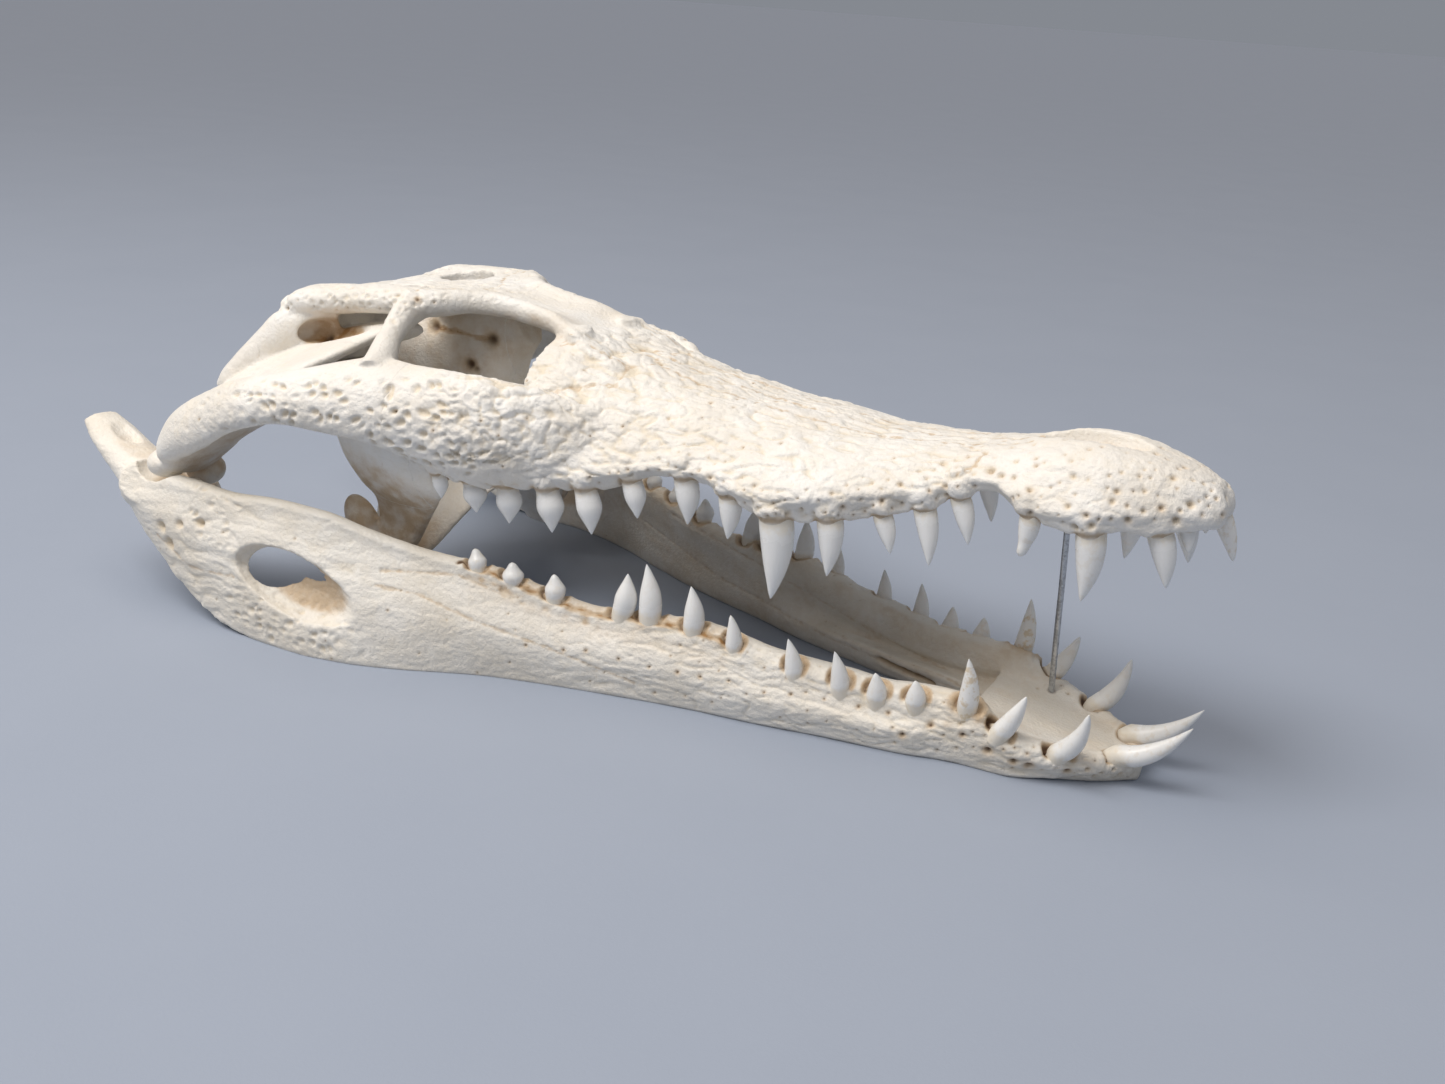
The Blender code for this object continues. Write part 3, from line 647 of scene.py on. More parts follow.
def bent(points: np.ndarray, reach: float, size: float, seed: int) -> np.ndarray:
    """Points pushed about by soft noise, so that what is read there winds."""
    push = [wander(points, (size,) * 3, seed + k) for k in range(3)]
    return points + reach * np.column_stack(push)


def even_ring(x: float, top: float, half: tuple, bottom: float, count: int) -> list:
    """A smooth ring at x from top to bottom through the corners of one half and their mirror."""
    outline = [(0, top), *half, (0, bottom), *((-y, z) for y, z in reversed(half))]
    return [(x, y, z) for y, z in round_outline(outline, count)]


@dataclass
class Foramina:
    """Small round vessel holes, placed on a surface, sunk into it and filled with painted shade."""

    rng: np.random.Generator
    scattered_depth: float = 1.6
    placed_depth: float = 1.5
    centres: list = field(default_factory=list)
    radii: list = field(default_factory=list)
    depths: list = field(default_factory=list)
    # How much painted shade fills each hole
    shadings: list = field(default_factory=list)

    def add(self, spot: np.ndarray, radius: float, depth: float, shading: float) -> None:
        """Adds one hole.

        Args:
            spot: Its middle, on the surface.
            radius: Its radius.
            depth: Its depth.
            shading: How much painted shade fills it, from 0 to 1.
        """
        self.centres.append(np.array(spot))
        self.radii.append(radius)
        self.depths.append(depth)
        self.shadings.append(shading)

    def scatter(
        self,
        points: np.ndarray,
        where: np.ndarray,
        count: int,
        spacing: float,
        radius: tuple,
        shading: float,
    ) -> None:
        """Adds holes at random where a mask allows them.

        Args:
            points: The surface's points.
            where: True at the points that may hold a hole.
            count: How many holes to try for.
            spacing: The least distance from one hole to another.
            radius: The smallest and the largest radius.
            shading: How much painted shade fills them.
        """
        allowed = np.flatnonzero(where)
        if not len(allowed):
            return
        for index in self.rng.choice(allowed, min(len(allowed), count * 4), replace=False):
            spot = points[index]
            if count <= 0:
                break
            if self.centres:
                away = np.linalg.norm(np.array(self.centres) - spot, axis=1)
                if away.min() < spacing:
                    continue
            size = radius[0] + (radius[1] - radius[0]) * self.rng.random() ** 2
            self.add(spot, size, self.scattered_depth * size, shading * self.rng.uniform(0.55, 1))
            count -= 1

    def add_beside(
        self, points: np.ndarray, wall: np.ndarray, spot: tuple, radius: float, shading: float
    ) -> None:
        """Adds a hole where a wall passes a place given by x and height."""
        away = np.where(wall, np.hypot(points[:, 0] - spot[0], points[:, 2] - spot[1]), 1e9)
        self.add(points[np.argmin(away)], radius, self.placed_depth * radius, shading)

    def sink(self, points: np.ndarray) -> tuple[np.ndarray, np.ndarray, np.ndarray]:
        """How deep every point lies in a hole.

        Args:
            points: The surface's points.

        Returns:
            The depth at each point, how much painted shade it gets from 0 to 1, and the tan halo
            round the holes.
        """
        order = np.argsort(points[:, 0])
        along = points[order, 0]
        depth, dark, halo = (np.zeros(len(points)) for _ in range(3))
        for spot, radius, deep, shading in zip(self.centres, self.radii, self.depths, self.shadings):
            # Nothing of a hole is left at four times its radius
            first, last = np.searchsorted(along, (spot[0] - 4 * radius, spot[0] + 4 * radius))
            near = order[first:last]
            share = np.sum((points[near] - spot) ** 2, axis=1) / radius**2
            depth[near] = np.maximum(depth[near], deep * np.exp(-share))
            dark[near] = np.maximum(dark[near], shading * np.exp(-0.9 * share))
            halo[near] = np.maximum(halo[near], shading * np.exp(-0.2 * share))
        return depth, dark, halo


@dataclass
class Skin:
    """A bone's surface while it is carved: how far its points move, and how they are coloured.

    Its regions are masks from 0 to 1, one for each kind of surface. In the sums that carve them,
    the first number lifts the surface, so that the relief stays about its level.
    """

    mesh: Mesh
    halo_share: float = 0.42
    regions: dict[str, np.ndarray] = field(default_factory=dict)
    points: np.ndarray = field(init=False)
    normals: np.ndarray = field(init=False)
    offset: np.ndarray = field(init=False)
    # Painted shade in holes, slits, socket gaps and round the wire's foot
    dark: np.ndarray = field(init=False)
    # Real stains, and painted shade in the hollows and on inner faces
    stain: np.ndarray = field(init=False)

    def __post_init__(self) -> None:
        """Reads the mesh, and starts with no relief and clean masks."""
        self.points, self.normals = read_points(self.mesh), read_rows(self.mesh, "normal")
        self.offset, self.dark, self.stain = (np.zeros(len(self.points)) for _ in range(3))

    def place(self) -> tuple[np.ndarray, np.ndarray, np.ndarray]:
        """Each point's x, distance from the middle plane and height."""
        return self.points[:, 0], np.abs(self.points[:, 1]), self.points[:, 2]

    def facing(self) -> tuple[np.ndarray, np.ndarray]:
        """How far each point faces away from the middle plane, and how far it faces up."""
        return self.normals[:, 1] * np.sign(self.points[:, 1]), self.normals[:, 2]

    def paint_shade(self, values: np.ndarray) -> None:
        """Paints at least as much shade on each point as the values say."""
        self.dark = np.maximum(self.dark, values)

    def stain_and_shade(self, values: np.ndarray) -> None:
        """Makes each point at least as stained as the values say; in the hollows and on inner faces
        this stain is partly painted shade.
        """
        self.stain = np.maximum(self.stain, values)

    def sink(self, holes: Foramina) -> None:
        """Sinks vessel holes, fills them with painted shade, and stains the bone round them.

        Args:
            holes: The holes.
        """
        sunk, hole_shade, halo = holes.sink(self.points)
        self.offset -= sunk
        self.paint_shade(hole_shade)
        self.stain_and_shade(self.halo_share * halo)

    def finish(self) -> None:
        """Moves the mesh's points and writes the masks that the bone finish reads."""
        write_points(self.mesh, self.points + self.normals * self.offset[:, None])
        for name, values in (
            # Painted shade in holes, slits, socket gaps and round the wire's foot
            ("dark", self.dark),
            # Painted shade, with some tan, in the relief's pits and grooves
            ("cavity", ease(-self.offset, 0.15, 1.0)),
            # Real stains, with painted shade in the hollows and on inner faces
            ("stain", np.clip(self.stain, 0, 1)),
        ):
            write_mask(self.mesh, name, values)


# How a crown bows, as a share of its length, where its row says nothing else
PLAIN_BOW = (0.16, 0.0, 0.0)

# How much stouter a crown is than the radius at its base
STOUTNESS = 1.03


@dataclass(frozen=True)
class Tooth:
    """One bowed conical crown with its root."""

    base: Vector
    tip: Vector
    radius: float
    bulb: float = 0.0
    blunt: float = 0.0
    stain: float = 0.0
    bow: tuple = PLAIN_BOW
    root: float = 5.0
    sides: int = 24
    ribs: int = 11
    rib_height: float = 0.012
    keel_height: float = 0.05
    slimness: float = 0.96

    def profile(self, root: float) -> tuple:
        """The crown's radius along its axis, as shares of its length and of its base's radius.

        Args:
            root: The root's length as a share of the crown's.

        Returns:
            Rows of place and radius.
        """
        bulb, blunt = self.bulb, self.blunt
        return (
            (-root, 0.86 - 0.08 * bulb),
            (0, 0.94 - 0.1 * bulb),
            (0.12, 0.95 - 0.06 * bulb),
            (0.24, 0.9 + 0.07 * bulb),
            (0.36, 0.82 + 0.18 * bulb),
            (0.5, 0.71 + 0.2 * bulb),
            (0.64, 0.57 + 0.12 * bulb),
            (0.8, 0.36 + 0.04 * bulb + 0.12 * blunt),
            (0.92, 0.19 + 0.2 * blunt),
            (1.0, 0.03 + 0.1 * blunt),
        )

    def surface(self, first: int) -> tuple[list, list, list, list]:
        """The tooth's surface.

        Args:
            first: The number of its first point in the row's mesh.

        Returns:
            Points, faces, how far up the crown each point lies, and how stained it is.
        """
        axis = self.tip - self.base
        length = axis.length
        across = axis.cross(Vector((1, 0.3, 0))).normalized()
        along = axis.cross(across).normalized()
        root = self.root / length
        places = np.concatenate([np.linspace(-root, 0.88, 24), (0.92, 0.95, 0.975, 0.99, 1.0)])
        points, rise = [], []
        for share, (size,) in zip(places, smooth_through(self.profile(root), places)):
            lean = length * share * (1 - share) if share > 0 else 0
            middle = self.base + axis * share + Vector(self.bow) * lean
            keel = self.keel_height * float(ease(np.array(share), 0.15, 0.45))
            swell = math.sin(min(max(share, 0), 1) * math.pi)
            for angle in full_turn(self.sides):
                rib = self.rib_height * math.cos(angle * self.ribs) * swell
                reach = self.radius * size * (0.98 + rib + keel * abs(math.cos(angle)) ** 7)
                out = across * math.sin(angle) * reach * self.slimness
                points.append(middle + out + along * math.cos(angle) * reach)
                rise.append(share)
        faces = wall_faces(len(places), self.sides, first)
        for start in (first, first + (len(places) - 1) * self.sides):
            faces.append(tuple(start + k for k in range(self.sides)))
        return points, faces, rise, [self.stain] * len(points)


@dataclass
class ToothRow:
    """The teeth of one side of one jaw, as one piece."""

    name: str
    teeth: list

    def build(self, collection: Collection) -> Object:
        """The row's mesh, with the masks that the enamel reads.

        Args:
            collection: Where it goes.

        Returns:
            The piece.
        """
        points, faces, rise, stain = [], [], [], []
        for tooth in self.teeth:
            more = tooth.surface(len(points))
            for whole, part in zip((points, faces, rise, stain), more):
                whole.extend(part)
        obj = add_mesh(self.name, points, faces, collection)
        write_mask(obj.data, "rise", np.array(rise))
        write_mask(obj.data, "stain", np.array(stain))
        obj.data.shade_smooth()
        return obj


# Snout: x, crown height, half width, height of the widest place, margin height,
# palate height at the middle, and the share of the half width that the flat top takes
SNOUT = (
    (434, 1, 2, -2, -4, -3, 0.4),
    (432.5, 6, 9, -2, -6, -4, 0.4),
    (428, 10, 14.5, 0, -6, -2, 0.45),
    (421, 13.5, 19, 1, -6, 0, 0.5),
    (413, 16.5, 23, 2, -8, 1, 0.5),
    (403, 19.5, 28, 2, -5.5, 1, 0.5),
    (392, 21.5, 31.5, 2, -8, 1, 0.45),
    (382, 22, 32, 2, -6, 1, 0.42),
    (371, 20.5, 31, 3, -3, 2, 0.4),
    (364, 19, 28.5, 6, 0.5, 3, 0.4),
    (358, 18, 26.5, 9, 4, 3, 0.45),
    (350, 17.5, 26.5, 9, 3.5, 3, 0.45),
    (342, 17, 28.5, 7, 0.5, 3, 0.45),
    (330, 17, 32.5, 5, -3.5, 3, 0.45),
    (317, 17.5, 37, 4, -6, 3, 0.42),
    (300, 19, 44, 3, -8, 3, 0.38),
    (288, 21.5, 48, 3, -8.5, 3, 0.36),
    (278, 23.5, 50, 3, -8.5, 3, 0.36),
    (269, 25, 49.5, 4, -6, 3, 0.38),
    (260, 26.5, 48, 5.5, -2.5, 3, 0.4),
    (250, 29, 47, 8, 2, 4, 0.42),
    (240, 31.5, 47.5, 9, 3.5, 5, 0.42),
    (230, 34, 49, 9, 4, 5, 0.42),
    (218, 37.5, 51, 8, 1.5, 5, 0.43),
    (208, 41, 53, 7, -2, 5, 0.43),
    (198, 43.5, 55.5, 6, -3, 5, 0.45),
    (190, 46.5, 57, 6, -3, 5, 0.45),
    (182, 50, 58.5, 6, -3, 5, 0.45),
    (169, 52, 59.5, 6, -3, 5, 0.45),
)

# Roof from the snout to the rear of the skull table: x, half width, rim height,
# how far the middle dips below the rims, thickness
ROOF = (
    (213, 20, 35, 0, 12),
    (205, 23, 39, 0, 12),
    (196, 27, 44.3, 1, 12),
    (186, 25, 50, 2, 12),
    (177, 21, 54.5, 3, 11),
    (166, 18.5, 60, 3.5, 10),
    (154, 17.5, 63, 4, 10),
    (144, 18.5, 65.5, 4, 10),
    (134, 22, 67.5, 3.5, 10),
    (127, 28, 68.5, 3, 10),
    (121, 36, 69, 2.5, 11),
    (114, 40, 70, 2.5, 12),
    (100, 42.5, 71, 3, 12),
    (80, 45.5, 71.5, 3, 12.5),
    (66, 48.5, 71.5, 3, 13),
    (58, 49.5, 70.5, 3, 13),
    (53, 48, 68, 2.5, 11),
)

# Cheek arch from the maxilla to the joint: upper edge, lower edge, half thickness, bulge
CHEEK = (
    ((214, -32, 24), (212, -36, 6), 2, 0),
    ((197, -43, 31), (197, -48, -1.5), 5.5, 1.5),
    ((180, -52, 38), (180, -54, -3), 6, 4),
    ((164, -59, 42), (166, -58.5, -3), 5.5, 7),
    ((150, -62, 43.5), (153, -62, -2), 5, 8),
    ((133, -62, 45), (140, -69, 6), 5, 7),
    ((118, -63, 47), (119, -79, 16.5), 5, 5),
    ((101, -71, 45), (104, -85, 20.5), 4.5, 4),
    ((85, -78, 42), (84, -89, 23.5), 4.5, 2.5),
    ((61, -80, 38.5), (61, -91, 19.5), 4.5, 2),
    ((38, -79, 31.5), (38, -90, 10.5), 5, 2),
    ((22, -80, 24.5), (22, -88, 5), 5.5, 1),
    ((11, -82, 14), (10, -85, 1), 5, 0),
)

# Quadrate's sloping shelf: front edge, rear edge, half thickness, bulge
QUADRATE_SHELF = (
    ((110, -30, 53), (52, -26, 47), 5, 0),
    ((107, -38, 54), (50, -36, 45), 4, 0),
    ((104, -46, 53), (42, -48, 40), 3.8, 0),
    ((98, -60, 48.5), (26, -60, 31), 4, 0),
    ((91, -72, 44), (19, -72, 23), 4.2, 0),
    ((84, -82, 40), (17, -82, 17), 4, 0),
)

# Quadrate's body down to the joint: centre, half width, half thickness
QUADRATE_BODY = (
    (88, -30, 35, 12, 7),
    (62, -44, 31, 14, 7.5),
    (40, -57, 23, 16, 8),
    (20, -68, 11, 17, 8),
    (5, -71, 0, 16, 7),
)

# Paroccipital process behind the quadrate: centre, half width, half thickness
PAROCCIPITAL = (
    (66, -34, 57, 8, 8),
    (56, -45, 55, 6.5, 9),
    (38, -53, 43, 5.5, 7),
    (26, -57.5, 34, 4.8, 5.4),
    (19, -59.5, 29, 2.5, 3),
)

POSTORBITAL_BAR = (
    (112, -34, 64, 7, 6),
    (112, -42, 59.5, 5.5, 5),
    (114, -52, 53.5, 4.6, 4.6),
    (117, -60, 48, 5.5, 5.5),
    (120, -67, 41, 9, 6),
)

PREFRONTAL_PILLAR = (
    (180, -17, 54, 8, 4),
    (177, -15, 40, 4, 3.5),
    (176, -14, 22, 4, 3.5),
    (175, -12, 4, 7, 4),
)

# Outer piece of the palate from the cheek down to the pterygoid's wing
ECTOPTERYGOID = (
    ((92, -71, 34), (148, -64, 12), 4, 0),
    ((90, -67, 20), (146, -63.5, 4), 3.8, 0),
    ((90, -64, 8), (141, -62.5, -4), 3.6, 0),
    ((91, -59.5, -3), (133, -58.5, -10), 3.4, 0),
    ((91, -53, -12), (122, -53, -18), 3.2, 0),
    ((87, -49, -25), (109, -50, -31), 3.2, 0),
    ((80, -48, -38), (99, -49, -42), 3.2, 0),
    ((77, -48, -50), (90, -48, -53), 2.8, 0),
)

# Pterygoid plate from one wing to the middle: front edge, rear edge, half thickness, bulge
PTERYGOID = (
    ((92, -50, -52), (76, -50, -50), 3, 0),
    ((108, -40, -36), (72, -40, -34), 2.6, 0),
    ((124, -24, -17), (64, -24, -20), 2.8, 0),
    ((134, 0, -8), (60, 0, -14), 5, 0),
    ((124, 24, -17), (64, 24, -20), 2.8, 0),
    ((108, 40, -36), (72, 40, -34), 2.6, 0),
    ((92, 50, -52), (76, 50, -50), 3, 0),
)

PALATINE_BAR = (
    (232, 0, 3, 19, 6),
    (210, 0, 4, 16, 8),
    (190, 0, 3, 13, 8),
    (165, 0, 2, 12, 8),
    (140, 0, 0, 13, 9),
    (120, 0, -4, 17, 9),
    (98, 0, -7, 19, 8),
)

# Braincase under the table: centre, half width, half height
BRAINCASE = (
    (139, 0, 53, 7, 10),
    (126, 0, 48, 11, 17),
    (108, 0, 38, 14, 27),
    (88, 0, 32, 16, 33),
    (66, 0, 32, 20, 34),
    (54, 0, 38, 22, 28),
)

BASIOCCIPITAL = (
    (62, 0, 22, 15, 9),
    (60, 0, 4, 17, 8),
    (62, 0, -12, 15, 8),
)

# Occipital plate from side to side: upper edge, lower edge, half thickness, bulge
OCCIPUT = (
    ((38, -57, 40), (36, -57, 32), 4, 0),
    ((54, -44, 58), (50, -44, 38), 5, 0),
    ((61, -22, 66), (58, -22, 30), 5.5, 0),
    ((63, 0, 67), (57, 0, 24), 6, 0),
    ((61, 22, 66), (58, 22, 30), 5.5, 0),
    ((54, 44, 58), (50, 44, 38), 5, 0),
    ((38, 57, 40), (36, 57, 32), 4, 0),
)

# Condyles of the joint: centre and radii
CONDYLES = (
    ((3, 79, 0), (7, 9, 6.5)),
    ((2, 62, -7), (7, 8.5, 7)),
)

# Upper teeth: x, distance from the middle, height of the base, length of the crown, radius
# at the base, how far the tip stands forward and outside, how bulbous, how blunt, how stained.
# The first stands on the left side only.
FIRST_UPPER_TOOTH = (429.4, 6, -5, 17, 3.6, 3, 1, 0, 0.3, 0.5)
UPPER_TEETH = (
    (421.6, 11, -6, 8.5, 3, 0.3, 1, 0, 0.3, 0.3),
    (413.6, 15.5, -8, 19, 4.8, 0.5, -0.5, 0, 0, 0),
    (392.2, 25, -7.5, 24, 5.6, -5.5, 0.5, 0, 0, 0.2),
    (371.4, 27, -3, 14, 4, -5, 0.5, 0, 1, 0.3),
    (344.5, 24.5, 0.3, 16, 4, 1.6, 1, 0.1, 0, 0),
    (331.7, 28, -3.8, 20, 4.4, 0, 1.5, 0, 0, 0),
    (317, 32.5, -6.6, 13, 3.8, 1.8, 1, 0, 0, 0),
    (298.5, 38.5, -8, 20.5, 5.2, -3.2, 1.5, 0, 0, 0),
    (279, 43.5, -8.2, 30, 6.8, -6, 1, 0, 0, 0),
    (259.8, 43, -2, 15.5, 4.6, -2.8, 1, 0.1, 0, 0),
    (240.7, 42.5, 3.2, 17, 5, -1.2, 1, 0.3, 0, 0),
    (218.4, 46, 1, 13.5, 4.4, 0.9, 1, 0.5, 0, 0),
    (199, 50, -2.6, 17, 5, 0.6, 1, 0.8, 0, 0),
    (182.8, 53, -3.2, 16.5, 5.2, 0.2, 1, 1, 0, 0),
    (166.8, 57, -2.8, 14, 5, -1.4, 0.5, 1, 0, 0),
    (152.9, 60.5, -1.2, 11.5, 4.6, 0, 0.5, 1, 0, 0),
    (140.5, 65, 1.8, 9, 3.2, -0.6, 0, 0.6, 0, 0),
)

# Sutures seen from above, as x and distance from the middle
SUTURES = (
    ((370, 0), (196, 0)),
    ((366, 7), (330, 9), (280, 11.5), (240, 12), (214, 10), (196, 0)),
    ((336, 40), (348, 25), (352, 17), (340, 9)),
    ((214, 10), (204, 20), (206, 32), (190, 40), (178, 48)),
    ((204, 20), (188, 22), (176, 24)),
    ((122, 0), (119, 10), (113, 16), (110, 24), (114, 34)),
    ((76, 18), (66, 20), (52, 22)),
)


# Holes in the braincase, behind the ear and on the table: middle on the left side, radius, how much
# painted shade fills it
HEAD_HOLES = (
    ((97, 12, 51), 2.8, 0.8),
    ((127, 10.4, 46.4), 3.0, 0.75),
    ((115, 12.6, 36), 2.4, 0.95),
    ((118, 14, 33), 1.7, 0.6),
    ((64, 40, 49), 2.6, 0.95),
    ((117, 38, 66), 0.8, 0.9),
)

# The crack between the first two of them, as x and height
HEAD_CRACK = ((97, 51), (127, 46.4))

# Hollows of the cranium toned beige to brown, partly painted shade in the recesses and partly the
# bone's warm colour: middle on the left side, radii, strength
HEAD_STAIN_AND_SHADE = (
    ((72, 42, 50), (20, 11, 9.5), 0.85),
    ((148, 18, 44), (46, 26, 22), 0.2),
    ((100, 12, 42), (40, 18, 30), 0.2),
    ((90, 20, 60), (16, 13, 14), 0.4),
    ((79, 51, -26), (13, 9, 16), 0.46),
    ((100, 54, -16), (44, 24, 40), 0.4),
    ((20, 60, 4), (46, 34, 22), 0.26),
    ((12, 60, -4), (16, 20, 8), 0.4),
    ((230, 0, -2), (230, 46, 8), 0.22),
    ((389, 0, 14), (24, 10, 9), 0.3),
)


@dataclass
class Cranium:
    """The upper skull, from the snout's tip to the jaw joint."""

    shift: Vector
    joint: tuple = (5.5, 0.0, 58.0)
    gape: float = 7.0
    tilt: float = 1.5
    length: float = 0.97
    width: float = 1.14
    lean: float = -0.11
    snout_rear: float = 124.0
    cheek_inner: float = 65.0
    palate_top: float = 3.0
    palate_rear: float = 29.0
    voxel: float = 0.75
    smoothing: int = 10
    corner_smoothing: int = 60
    fold_depth: float = 0.62
    crease_depth: float = 0.4
    swelling_height: float = 0.5
    knob_height: float = 1.1
    cheek_pit_depth: float = 1.5
    edge_pit_depth: float = 0.95
    table_pit_depth: float = 0.7
    suture_depth: float = 0.35
    crack_depth: float = 0.5
    socket_depth: float = 0.8

    def fit(self) -> Matrix:
        """What gives the level pattern its size."""
        return Matrix(
            ((self.length, 0, self.lean, 0), (0, self.width, 0, 0), (0, 0, 1, 0), (0, 0, 0, 1))
        )

    def place(self) -> Matrix:
        """What tips the sized cranium back about the joint and sets it over the lower jaw."""
        return (
            Matrix.Translation((Vector(self.joint) + self.shift) * MM)
            @ Matrix.Rotation(-math.radians(self.tilt), 4, "X")
            @ Matrix.Rotation(-math.radians(self.gape), 4, "Y")
        )

    def snout_rings(self) -> list:
        """The snout's shape.

        Returns:
            Rings of points from its tip back to the front of the orbits.
        """
        places = np.concatenate([np.linspace(434, 420, 12), np.linspace(418, 169, 110)])
        rings = []
        for x, row in zip(places, smooth_through(SNOUT, places)):
            crown, width, widest, margin, palate, flat = row
            half = (
                (width * flat * 0.5, crown - 0.3),
                (width * flat, crown - (crown - widest) * 0.08),
                (width * (flat + 1) / 2, crown - (crown - widest) * 0.32),
                (width, widest),
                (width * 0.964, (margin + widest) / 2),
                (width * 0.9, margin),
                (width * 0.72, margin + 1.0),
                (width * 0.5, (margin + palate) / 2 + 1),
            )
            rings.append(even_ring(x, crown, half, palate, 72))
        return rings

    def roof_rings(self) -> list:
        """The roof's shape, with raised rims beside the orbits.

        Returns:
            Rings of points from the snout back to the rear of the table.
        """
        places = np.linspace(213, 50, 74)
        rings = []
        for x, row in zip(places, smooth_through(ROOF, places)):
            width, rim, dip, thick = row
            half = (
                (width * 0.5, rim - dip * 0.75),
                (width * 0.82, rim),
                (width, rim - thick * 0.3),
                (width * 0.97, rim - thick * 0.8),
                (width * 0.72, rim - thick),
            )
            rings.append(even_ring(x, rim - dip, half, rim - thick, 56))
        return rings

    def build_whole(self, collection: Collection) -> Object:
        """The whole cranium as one fine skin, still as a level pattern.

        Args:
            collection: Where it goes.

        Returns:
            The cranium.
        """
        pieces = new_collection("cranium_pieces")
        cranium = loft("cranium", self.snout_rings(), collection)
        loft("roof", self.roof_rings(), pieces)
        plate("pterygoid", PTERYGOID, pieces)
        plate("occiput", OCCIPUT, pieces)
        bar("palatine_bar", PALATINE_BAR, pieces)
        bar("braincase", BRAINCASE, pieces)
        bar("basioccipital", BASIOCCIPITAL, pieces, up=(1, 0, 0))
        ball("neck_condyle", (47, 0, 22), (8, 7.5, 7), pieces)
        paired = [
            plate("cheek", CHEEK, pieces),
            plate("quadrate_shelf", QUADRATE_SHELF, pieces),
            bar("quadrate_body", QUADRATE_BODY, pieces),
            bar("paroccipital", PAROCCIPITAL, pieces),
            bar("postorbital_bar", POSTORBITAL_BAR, pieces, up=(1, 0, 0)),
            bar("prefrontal_pillar", PREFRONTAL_PILLAR, pieces, up=(1, 0, 0)),
            plate("ectopterygoid", ECTOPTERYGOID, pieces),
            ball("cartilage", (79, -51, -26), (8, 5, 12), pieces, turn=(0, -25, 0)),
        ]
        for (x, y, z), radii in CONDYLES:
            paired.append(ball("jaw_condyle", (x, -y, z), radii, pieces))
        for x, y, z, length, radius, *_ in (FIRST_UPPER_TOOTH, *UPPER_TEETH):
            rim = (radius + 1.7, radius + 1.3, 5 + min(3.0, 0.15 * length))
            paired.append(ball("tooth_rim", (x, -y, z + 5), rim, pieces))
        for piece in paired:
            mirrored(piece, pieces)
        combine(cranium, pieces, Join.ADD)
        self.cut_openings(cranium)
        melt(cranium, self.voxel, self.smoothing)
        keep_largest(cranium)
        x, _, z = read_points(cranium.data).T
        corner = ease(x, 150, 168) * ease(x, 232, 214) * ease(z, 14, 24)
        soften(cranium, corner, self.corner_smoothing)
        return cranium

    def cut_openings(self, cranium: Object) -> None:
        """Opens the nostril, orbits, temporal openings and the palate's windows.

        Args:
            cranium: The joined pattern.
        """
        cutters = new_collection("cranium_cutters")
        ball("naris", (389, 0, 22), (21, 8.5, 12), cutters)
        ball("foramen_magnum", (50, 0, 37), (14, 6.5, 6), cutters)
        ball("choana", (78, 0, -20), (7, 7, 9), cutters)
        ball("incisive_foramen", (402, 0, -3), (8, 5, 7), cutters)
        for side in Side:
            s = side.value
            ball("table_opening", (90, 20 * s, 66), (13, 10, 22), cutters)
            ball("orbit", (149, 43 * s, 60), (28, 17, 15), cutters, turn=(24 * s, 0, -14 * s))
            ball("orbit_deep", (151, 32 * s, 37), (23, 15, 15), cutters, turn=(0, 0, -12 * s))
            ball("palate_window", (183, 29 * s, 3), (34, 12, 22), cutters, turn=(0, 0, 10 * s))
            ball("ear_recess", (76, 46 * s, 54), (23, 9, 6), cutters, turn=(0, -8, 8 * s))
        combine(cranium, cutters, Join.CUT)

    def carve_relief(self, cranium: Object) -> None:
        """Gives the pattern its folds, pits, sutures, tooth sockets and vessel holes.

        Args:
            cranium: The pattern.
        """
        skin = Skin(cranium.data)
        self.find_regions(skin)
        self.carve_surface(skin)
        self.carve_sutures(skin)
        for station in UPPER_TEETH:
            self.carve_socket(skin, station)
        self.carve_holes(skin)
        self.carve_crack(skin)
        self.stain_and_shade_hollows(skin)
        skin.finish()

    def find_regions(self, skin: Skin) -> None:
        """Marks the snout's bark, the cheek, the roof and the table's edge.

        Args:
            skin: The pattern's skin.
        """
        x, y, z = skin.place()
        out, up = skin.facing()
        snout = ease(x, 172, 188)
        lacrimal = ease(y, 24, 32) * ease(x, 140, 160) * (z > 10)
        bark = ease(up + 0.8 * out, 0.0, 0.35) * np.maximum(snout, lacrimal)
        cheek = (1 - snout) * ease(y, 50, 57) * ease(out + 0.4 * up, 0.1, 0.5) * ease(x, 14, 62)
        cheek *= ease(z, 44, 38) * ease(x + 3 * z, 420, 300)
        low_edge = smooth_through([(low[0], low[2]) for _, low, *_ in CHEEK], x)[:, 0]
        cheek *= ease(z - low_edge, -6, -3)
        roof = (1 - snout) * ease(z, 55, 60) * ease(up, 0.1, 0.5) * (1 - bark)
        edge = (1 - snout) * ease(z, 60, 63) * ease(out, 0.1, 0.4)
        edge = edge * ease(y, 28, 34) * ease(x, 130, 118)
        skin.regions = {"bark": bark, "cheek": cheek, "roof": roof, "edge": edge}

    def above_margin(self, skin: Skin) -> np.ndarray:
        """How far each point lies above the snout's tooth margin."""
        return skin.points[:, 2] - smooth_through(SNOUT, skin.points[:, 0])[:, 3]

